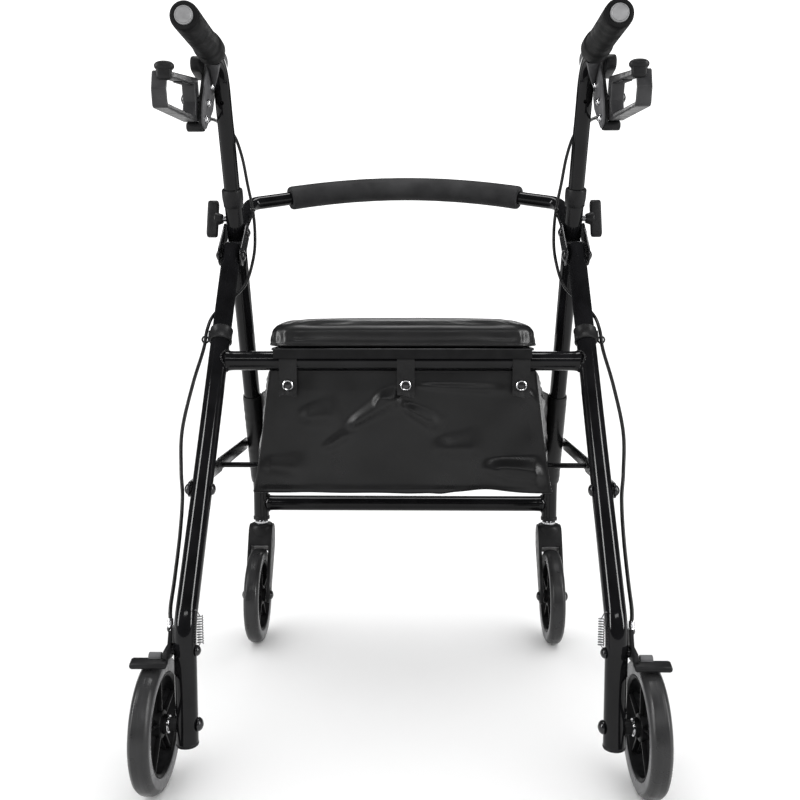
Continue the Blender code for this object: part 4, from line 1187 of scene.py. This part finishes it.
CABLE_ROUTE = (
    (0.2585, -0.0010, 0.7965), (0.2590, 0.0150, 0.8005), (0.2588, 0.0320, 0.8040),
    (0.2570, 0.0560, 0.8060), (0.2510, 0.0830, 0.8030), (0.2420, 0.1020, 0.7930), (0.2350, 0.1170, 0.7660),
    (0.2300, 0.1280, 0.7300), (0.2240, 0.1330, 0.6950), (0.2210, 0.1320, 0.6600), (0.2220, 0.1240, 0.6250),
    (0.2300, 0.1000, 0.5850), (0.2450, 0.0600, 0.5600), (0.2590, 0.0180, 0.5400),
    (0.2628, -0.0080, 0.5200), (0.2640, -0.0250, 0.4950), (0.2720, -0.0560, 0.4500),
    (0.2770, -0.0950, 0.3950), (0.2710, -0.1270, 0.3500), (0.2655, -0.1450, 0.3200),
    (0.2630, -0.1700, 0.2800), (0.2625, -0.2000, 0.2350), (0.2625, -0.2200, 0.2080),
    (0.2605, -0.2285, 0.1935),
)
CABLE_SPLIT = 9
CABLE_R = 0.0023


def cable(side):
    """The brake cable in two runs: handle to front frame, and front frame to brake arm."""
    route = [Vector((side * x, y, z)) for x, y, z in CABLE_ROUTE]
    points = smooth_through(route, 0.005)
    split = min(range(len(points)), key=lambda i: (points[i] - route[CABLE_SPLIT]).length)
    name = side_name("brake_cable", side)
    upper = sweep(name + "_upper", points[: split + 1], CABLE_R, JACKET, 14)
    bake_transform(upper)
    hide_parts(name)
    lower = sweep(name + "_lower", points[split:], CABLE_R, JACKET, 14)
    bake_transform(lower)
    way = (route[-1] - route[-2]).normalized()
    end = [(0, 0), (0.0034, 0), (0.0034, 0.0070), (0.0026, 0.0076), (0.0026, 0.0100), (0, 0.0100)]
    piece(lathe(name + "_ferrule", end, route[-1] - way * 0.004, way, CHROME, 24), "rear_frame", "chrome")
    wire = sweep(name + "_wire", [route[-1], route[-1] + way * 0.0090], 0.0008, CHROME, 10)
    piece(wire, "rear_frame", "chrome")
    ring = ring_points(route[8], ALONG_X, ALONG_Y, 0.0036, 24)
    piece(sweep(name + "_guide", ring, 0.0009, STEEL, 10, closed=True), "front_frame", "black_zinc_steel")


# Seat and pouch


def seat_pan():
    low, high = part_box("seat_pan")
    shape = bmesh.new()
    thick_low, thick_high = 0.4937, 0.4972
    bmesh.ops.create_cube(shape, size=1)
    for vert in shape.verts:
        vert.co = Vector((
            high.x * vert.co.x * 2, low.y + (0.2190 - low.y) * (vert.co.y + 0.5),
            thick_low + (thick_high - thick_low) * (vert.co.z + 0.5),
        ))
    pan = bevel(from_bmesh("seat_pan_sheet", shape, STEEL), 0.0012, 3)
    smooth(pan.data, 40)
    y = front_y(0.466)
    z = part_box("seat_hinge_bar")[1].z - 0.0055
    lug = [(y, z, 0.0055), (y, 0.4938, 0.0030)]
    lugs = [
        slab(side_name("seat_lug", side), lug, side * 0.1534, side * 0.1564, STEEL, 0.0003) for side in SIDES
    ]
    ribs = [
        rod(f"seat_pan_rib{i}", (-0.150, 0.150), rib_y, thick_low - 0.0006, 0.0014, STEEL, 12)
        for i, rib_y in enumerate((0.020, 0.090, 0.160))
    ]
    # The lip that hangs from the pan's rear edge is a dark sheet of painted shade: it is made in the matte
    # grip finish and reaches down over the crossbar's top, standing in for the shade under the seat's
    # overhang and hiding the crossbar's top highlight.
    painted_shade_lip_y = REAR_CROSSBAR.y - CROSSBAR_R - 0.0027
    lip = [(painted_shade_lip_y, thick_high - 0.0016, 0.0006), (painted_shade_lip_y, 0.4840, 0.0006)]
    lip = slab("seat_pan_painted_shade_lip", lip, -high.x + 0.004, high.x - 0.004, GRIP, 0.0003)
    turn = [(painted_shade_lip_y, thick_high - 0.0012, 0.0008), (low.y + 0.004, thick_high - 0.0012, 0.0008)]
    turn = slab("seat_pan_turn", turn, -high.x + 0.004, high.x - 0.004, STEEL, 0.0003)
    piece(merge("seat_pan_whole", [pan, *lugs, *ribs, lip, turn]), "seat", "black_zinc_steel", "seat_pan")


def inflate(made, pressure, most, voxel, pinned):
    """Swells a closed form as stuffed cloth: pinned points stay, and no point moves farther than most."""
    remesh = made.modifiers.new("even", "REMESH")
    remesh.mode = "VOXEL"
    remesh.voxel_size = voxel
    apply_modifiers(made)
    start = np.empty(len(made.data.vertices) * 3, np.float32)
    made.data.vertices.foreach_get("co", start)
    group = made.vertex_groups.new(name="held")
    group.add([v.index for v in made.data.vertices if pinned(v.co)], 1, "REPLACE")
    cloth = made.modifiers.new("stuffing", "CLOTH")
    cloth.settings.use_pressure = True
    cloth.settings.uniform_pressure_force = pressure
    cloth.settings.effector_weights.gravity = 0
    cloth.settings.mass = 0.3
    cloth.settings.tension_stiffness = 25
    cloth.settings.compression_stiffness = 10
    cloth.settings.bending_stiffness = 0.6
    cloth.settings.vertex_group_mass = "held"
    for step in range(1, 21):
        bpy.context.scene.frame_set(step)
    apply_modifiers(made)
    end = np.empty_like(start)
    made.data.vertices.foreach_get("co", end)
    moved = (end - start).reshape(-1, 3)
    far = np.linalg.norm(moved, axis=1, keepdims=True)
    moved *= np.minimum(1, most / np.maximum(far, 1e-9))
    made.data.vertices.foreach_set("co", (start.reshape(-1, 3) + moved).ravel().astype(np.float32))
    made.data.update()
    bpy.context.scene.frame_set(1)


def seat_cushion():
    """The vinyl seat: a crowned pad with tight corners, a welt round its lower edge and gathered corners."""
    low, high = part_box("seat_cushion")
    centre = middle("seat_cushion")
    half = size("seat_cushion") / 2 - Vector((0.0012, 0.0018, 0))
    base, top = low.z + 0.0008, high.z - 0.0030
    corner, shoulder, crown, puckered = 0.034, 0.0135, 0.0030, 0.052
    shape = bmesh.new()
    bmesh.ops.create_cube(shape, size=2)
    bmesh.ops.subdivide_edges(shape, edges=shape.edges, cuts=47, use_grid_fill=True)
    for vert in shape.verts:
        u, v, w = vert.co
        edge = max(abs(u), abs(v), 1e-6)
        wide = 1 - (1 - min(edge, 1)) ** 1.6
        x, y = u / edge * half.x, v / edge * half.y
        over_x, over_y = abs(x) - (half.x - corner), abs(y) - (half.y - corner)
        if over_x > 0 and over_y > 0:
            reach = max(over_x, over_y) / math.hypot(over_x, over_y)
            x = math.copysign(half.x - corner + over_x * reach, x)
            y = math.copysign(half.y - corner + over_y * reach, y)
        inward = (1 - wide) * half.x
        if w > 0.999:
            drop = shoulder - math.sqrt(max(0.0, shoulder**2 - max(0.0, shoulder - inward) ** 2))
            z = top - drop - crown * wide**2
        elif w < -0.999:
            z = base
        else:
            z = base + (w + 1) / 2 * (top - shoulder - crown - base)
        vert.co = Vector((centre.x + x * wide, centre.y + y * wide, z))
    pad = from_bmesh("seat_cushion_pad", shape, VINYL, 180)
    inflate(pad, 4.0, 0.0034, 0.0045, pinned=lambda p: p.z < base + 0.004)
    for vert in pad.data.vertices:
        p = vert.co
        if p.z < base + 0.0002:
            p.z = base
        at_corner = min(
            clamp((abs(p.x) - half.x + puckered) / puckered),
            clamp((abs(p.y - centre.y) - half.y + puckered) / puckered)
        )
        lower = max(0.0, 1 - abs(p.z - (base + 0.013)) / 0.014)
        out = Vector((p.x, (p.y - centre.y) * half.x / half.y, 0)).normalized()
        angle = math.atan2(abs(p.y - centre.y) - (half.y - corner), abs(p.x) - (half.x - corner))
        pleat = math.sin(11 * angle + 2.0 * ripple(p.x * 9, p.y * 9, 1))
        p += out * (0.0018 * at_corner**0.7 * lower * pleat)
        p += out * (0.0018 * math.sin(math.pi * clamp((p.z - base) / (top - base))))
        slow = 0.0004 * ripple(p.x * 14, p.y * 14, 3) + 0.0001 * ripple(p.x * 40, p.y * 40, 6)
        p.z += slow * clamp((p.z - base - 0.012) / 0.010)
        if p.z > base + 0.005:
            line = top - 0.0118 + 0.0012 * ripple(p.x * 12, p.y * 12, 9)
            p += out * 0.0006 * math.exp(-(((p.z - line) / 0.0022) ** 2))
    refine = pad.modifiers.new("finer", "SUBSURF")
    refine.levels = refine.render_levels = 1
    apply_modifiers(pad)
    smooth(pad.data, 180)
    outline = []
    inset_x, inset_y = half.x - 0.0006, half.y - 0.0006
    for sx, sy in ((1, 1), (-1, 1), (-1, -1), (1, -1)):
        for k in range(9):
            a = math.atan2(sy, sx) + math.radians(-45 + 90 * k / 8)
            x = sx * (inset_x - corner) + corner * math.cos(a)
            y = centre.y + sy * (inset_y - corner) + corner * math.sin(a)
            outline.append(Vector((x, y, low.z + 0.0032)))
    welt = sweep("seat_welt", resample(outline, 0.004), 0.0019, VINYL, 14, closed=True)
    piece(pad, "seat", "vinyl", "seat_cushion")
    piece(welt, "seat", "vinyl")


def resample(points, spacing):
    """Points about spacing apart round a closed line."""
    made = []
    for a, b in zip(points, [*points[1:], points[0]]):
        steps = max(1, round((b - a).length / spacing))
        made += [a.lerp(b, k / steps) for k in range(steps)]
    return made


POUCH_TOP, POUCH_FRONT_TOP, POUCH_BOTTOM = 0.4660, 0.4120, 0.3050
POUCH_REAR_Y = -0.0400
POUCH_WALL = 0.0010
REAR_LOW_HALF, REAR_TAPER = 0.1975, 0.0235
FLOOR_HALF, FRONT_HALF = 0.1960, 0.2288
SLEEVE_LOW, SLEEVE_R = 0.2640, 0.0150


def fold_noise(x, z, seed, scale):
    return ripple(x * scale, z * scale, seed)


def crease(x, z, x0, z0, x1, z1, width):
    """A pulled fold: 1 along its line, steep below it, with a broad slope above it that widens."""
    along = Vector((x1 - x0, z1 - z0))
    length = along.length
    along.normalize()
    offset = Vector((x - x0, z - z0))
    t = offset.dot(along) / length
    above = (offset.y * along.x - offset.x * along.y) / (width * (0.4 + 0.6 * clamp(t)))
    fade = clamp(3 * t) * clamp(3 * (1 - t))
    fade *= fade * (3 - 2 * fade)
    if above < 0:
        return math.exp(-((above / 0.45) ** 2)) * fade
    above = min(1.0, above)
    return (1 - above * above * (3 - 2 * above)) * fade


def rear_panel_depth(x, z):
    """How far the pouch's rear cloth stands towards the user: broad folds, and pulls from the snaps."""
    top_share = (z - POUCH_BOTTOM) / (POUCH_TOP - POUCH_BOTTOM)
    depth = 0.0042 * fold_noise(x, z, 4.0, 8) + 0.0010 * fold_noise(x, z, 9.0, 24)
    # Each pulled fold runs from (x0, z0) to (x1, z1)
    for x0, z0, x1, z1, width, height in (
        (0.098, 0.3390, 0.206, 0.3260, 0.034, 0.0060), (-0.006, 0.4240, 0.056, 0.3890, 0.022, 0.0044),
        (-0.078, 0.3900, -0.012, 0.4300, 0.022, 0.0046), (-0.040, 0.4260, 0.002, 0.4300, 0.028, 0.0044),
        (-0.142, 0.4040, -0.078, 0.4110, 0.034, 0.0036), (0.005, 0.4480, 0.150, 0.4410, 0.012, 0.0018),
        (0.152, 0.4500, 0.200, 0.4030, 0.014, 0.0030), (0.034, 0.3640, 0.112, 0.3660, 0.038, 0.0032),
        (-0.200, 0.3420, -0.120, 0.3360, 0.030, 0.0024), (-0.110, 0.3600, -0.060, 0.3900, 0.018, 0.0020),
    ):
        depth += 1.6 * height * crease(x, z, x0, z0, x1, z1, width)
    depth *= 1 - 0.7 * max(0.0, top_share - 0.85) / 0.15
    hem = 0.0014 * math.exp(-(((z - POUCH_BOTTOM - 0.004) / 0.004) ** 2))
    return depth + hem


def pouch_bottom(x):
    """The lower edge dips and lifts a little along its width."""
    lift = 0.0022 * ripple(x * 14, 0.3, 2)
    lift -= 0.0018 * math.exp(-(((x - 0.052) / 0.012) ** 2))
    lift += 0.0045 * math.exp(-(((x - 0.110) / 0.030) ** 2))
    return POUCH_BOTTOM + 0.0010 + lift


def rear_half_width(z):
    share = (z - POUCH_BOTTOM) / (POUCH_TOP - POUCH_BOTTOM)
    return REAR_LOW_HALF - REAR_TAPER * clamp(share) ** 0.8


def grid_sheet(name, columns, rows, place, material, thickness=POUCH_WALL):
    """A sheet of cloth: place(u, v) gives each point for u and v from 0 to 1."""
    shape = bmesh.new()
    grid = [[shape.verts.new(place(i / columns, j / rows)) for i in range(columns + 1)]
            for j in range(rows + 1)]
    for low, high in zip(grid, grid[1:]):
        for i in range(columns):
            shape.faces.new((low[i], low[i + 1], high[i + 1], high[i]))
    bmesh.ops.recalc_face_normals(shape, faces=shape.faces)
    made = from_bmesh(name, shape, material, 180)
    thick = made.modifiers.new("thickness", "SOLIDIFY")
    thick.thickness = thickness
    thick.offset = 0
    apply_modifiers(made)
    smooth(made.data, 60)
    return made


def pouch():
    """The coated-cloth bag: rear panel with pulls, two sides to the tube sleeves, front panel and floor."""
    rear_top, front_top, bottom = POUCH_TOP, POUCH_FRONT_TOP, POUCH_BOTTOM

    def rear(u, v):
        x = 2 * u - 1
        z = bottom + (rear_top - bottom) * v
        wide = rear_half_width(z) * x
        low = pouch_bottom(wide)
        z = low + (rear_top - low) * v
        edge = min(1.0, (1 - abs(x)) * 12)
        depth = clamp(rear_panel_depth(wide, z), -0.009, 0.0085)
        return Vector((wide, POUCH_REAR_Y + 0.0012 - depth * edge, z))

    def flank(side):
        def place(u, v):
            top = rear_top + (front_top - rear_top) * u
            z0 = pouch_bottom(side * FLOOR_HALF)
            z = z0 + (top - z0) * v
            start = Vector((side * rear_half_width(z), POUCH_REAR_Y + 0.0012, z))
            end = Vector((side * FRONT_HALF, front_y(z), z))
            point = start.lerp(end, u)
            slack = math.sin(math.pi * u)
            push = 0.0060 * ripple(u * 3.1, v * 2.6, 5 + side)
            push += 0.0030 * ripple(u * 9, v * 7, 8 + side) - 0.0050 * v * slack
            point.x += side * push * slack
            point.z -= 0.0060 * slack * v**6
            return point
        return place

    def front(u, v):
        x = (2 * u - 1) * FRONT_HALF
        z = bottom + (front_top - bottom) * v
        sag = math.sin(math.pi * u)
        push = 0.0060 * ripple(u * 4, v * 3, 12) + 0.0030 * ripple(u * 12, v * 8, 15)
        return Vector((x, front_y(z) + push * sag - 0.004 * sag * v, z - 0.0080 * sag * v**6))

    def floor(u, v):
        y0, y1 = POUCH_REAR_Y + 0.0015, front_y(bottom) - 0.0005
        y = y0 + (y1 - y0) * v
        wide = FLOOR_HALF + (FRONT_HALF - FLOOR_HALF) * v
        x = (2 * u - 1) * wide
        edge = math.sin(math.pi * u) * math.sin(math.pi * v)
        lift = pouch_bottom(x) * (1 - v) + (bottom + 0.001) * v
        return Vector((x, y, lift + 0.0030 * ripple(u * 5, v * 4, 20) * edge))

    panels = [
        grid_sheet("pouch_rear", 200, 84, rear, CLOTH), grid_sheet("pouch_front", 110, 48, front, CLOTH),
        grid_sheet("pouch_floor", 90, 60, floor, CLOTH),
        *[grid_sheet(side_name("pouch_flank", side), 80, 56, flank(side), CLOTH) for side in SIDES],
    ]
    rings = 60
    for side in SIDES:
        heights = np.linspace(SLEEVE_LOW, front_top, rings)
        points = [Vector((side * SIDE_X, front_y(z), z)) for z in heights]
        radii = [SLEEVE_R + 0.0005 * ripple(side, k * 0.35, 1) for k in range(rings)]
        radii[0] -= 0.0006
        radii[-1] -= 0.0006
        sleeve = sweep(side_name("pouch_sleeve", side), points, radii, CLOTH, 40)
        beyond = points[5] - points[0]
        core_points = [2 * points[0] - points[1] - beyond, *points, points[-1] + (points[-1] - points[-6])]
        boolean(sleeve, sweep(side_name("sleeve_core", side), core_points, TUBE_R + 0.0002, CLOTH, 40))
        panels.append(sleeve)
    binding = []
    edge_points = [rear(k / 120, 1) + Vector((0, 0, 0.0004)) for k in range(121)]
    binding.append(sweep("pouch_top_binding", edge_points, 0.0015, CLOTH, 10))
    front_points = [front(k / 80, 1) for k in range(81)]
    binding.append(sweep("pouch_front_binding", front_points, 0.0015, CLOTH, 10))
    for side in SIDES:
        seam = [rear(0.5 + side * 0.5, k / 60) for k in range(61)]
        binding.append(sweep(side_name("pouch_corner_seam", side), seam, 0.0014, CLOTH, 10))
        top = [flank(side)(k / 40, 1) for k in range(41)]
        binding.append(sweep(side_name("pouch_flank_binding", side), top, 0.0014, CLOTH, 10))
    lower = [rear(k / 140, 0) for k in range(141)]
    binding.append(sweep("pouch_lower_seam", lower, 0.0013, CLOTH, 10))
    whole = merge("storage_pouch_cloth", [*panels, *binding])
    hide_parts("storage_pouch")
    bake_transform(whole)


STRAP_X = (-0.1491, 0.0045, 0.1546)
SNAP_Z = 0.4490
STRAP_HALF = 0.0115


def straps():
    """Webbing loops over the rear crossbar, snapped to the pouch, with curled free ends."""
    centre_y, centre_z = REAR_CROSSBAR.y, REAR_CROSSBAR.z
    for i, strap_x in enumerate(STRAP_X):
        path = []
        reach = CROSSBAR_R + 0.0012
        for k in range(25):
            a = math.radians(-20 + 200 * k / 24)
            path.append(Vector((0, centre_y + reach * math.cos(a), centre_z + reach * math.sin(a))))
        rear_y0 = centre_y - reach
        face = POUCH_REAR_Y - 0.0085
        path += [
            Vector((0, rear_y0 + (face - rear_y0) * t**1.3, centre_z + (0.4540 - centre_z) * t))
            for t in np.linspace(0.12, 1, 10)
        ]
        tail = ((0.0006, SNAP_Z), (0.0004, 0.4430), (0.0016, 0.4385), (0.0044, 0.4345))
        path += [Vector((0, face - out, z)) for out, z in tail]
        front = ((POUCH_REAR_Y + 0.0024, 0.4420), (POUCH_REAR_Y + 0.0022, 0.4560),
                 (centre_y + 0.004, centre_z - 0.016), (centre_y + reach + 0.0002, centre_z - 0.006))
        path = smooth_through([*[Vector((0, y, z)) for y, z in front], *path[1:]], 0.0022)

        def place(u, v, path=path, strap_x=strap_x, i=i):
            spot = path[min(len(path) - 1, round(v * (len(path) - 1)))]
            across = (2 * u - 1)
            end = max(0.0, v - 0.93) / 0.07
            curl = 0.0022 * end * math.sin(3.0 * across + 1.3 * i) + 0.0008 * end * math.sin(9 * across + i)
            lift = 0.0018 * end * math.sin(2.2 * across + 2 + i)
            return Vector((strap_x + across * STRAP_HALF * (1 - 0.04 * end), spot.y - curl, spot.z + lift))

        strap = grid_sheet(f"pouch_strap_{i + 1}", 14, len(path) - 1, place, WEBBING, 0.0013)
        piece(strap, "rear_frame", "coated_fabric")
        snap_place = (strap_x, face - 0.0008, SNAP_Z)
        ring = [
            (0.0044, 0), (0.0066, 0), (0.0073, 0.0006), (0.0074, 0.0014), (0.0069, 0.0024),
            (0.0060, 0.0029), (0.0052, 0.0026), (0.0048, 0.0016), (0.0044, 0.0012),
        ]
        ring = lathe(f"snap_ring_{i + 1}", ring, snap_place, -ALONG_Y, CHROME)
        button = [(0, 0), (0.0046, 0), (0.0046, 0.0014), (0.0040, 0.0021), (0.0018, 0.0026), (0, 0.0027)]
        button = lathe(f"snap_button_{i + 1}", button, snap_place, -ALONG_Y, STEEL, 40)
        piece(merge(f"snap_{i + 1}", [ring, button]), "rear_frame", "chrome")


# Everything

stage()
front_frame()
rear_frame()
wheels()
links()
for side in SIDES:
    handle(side)
    housing(side)
    lever(side)
    knob(side)
    shoe(side)
    cable(side)
seat_pan()
seat_cushion()
pouch()
straps()
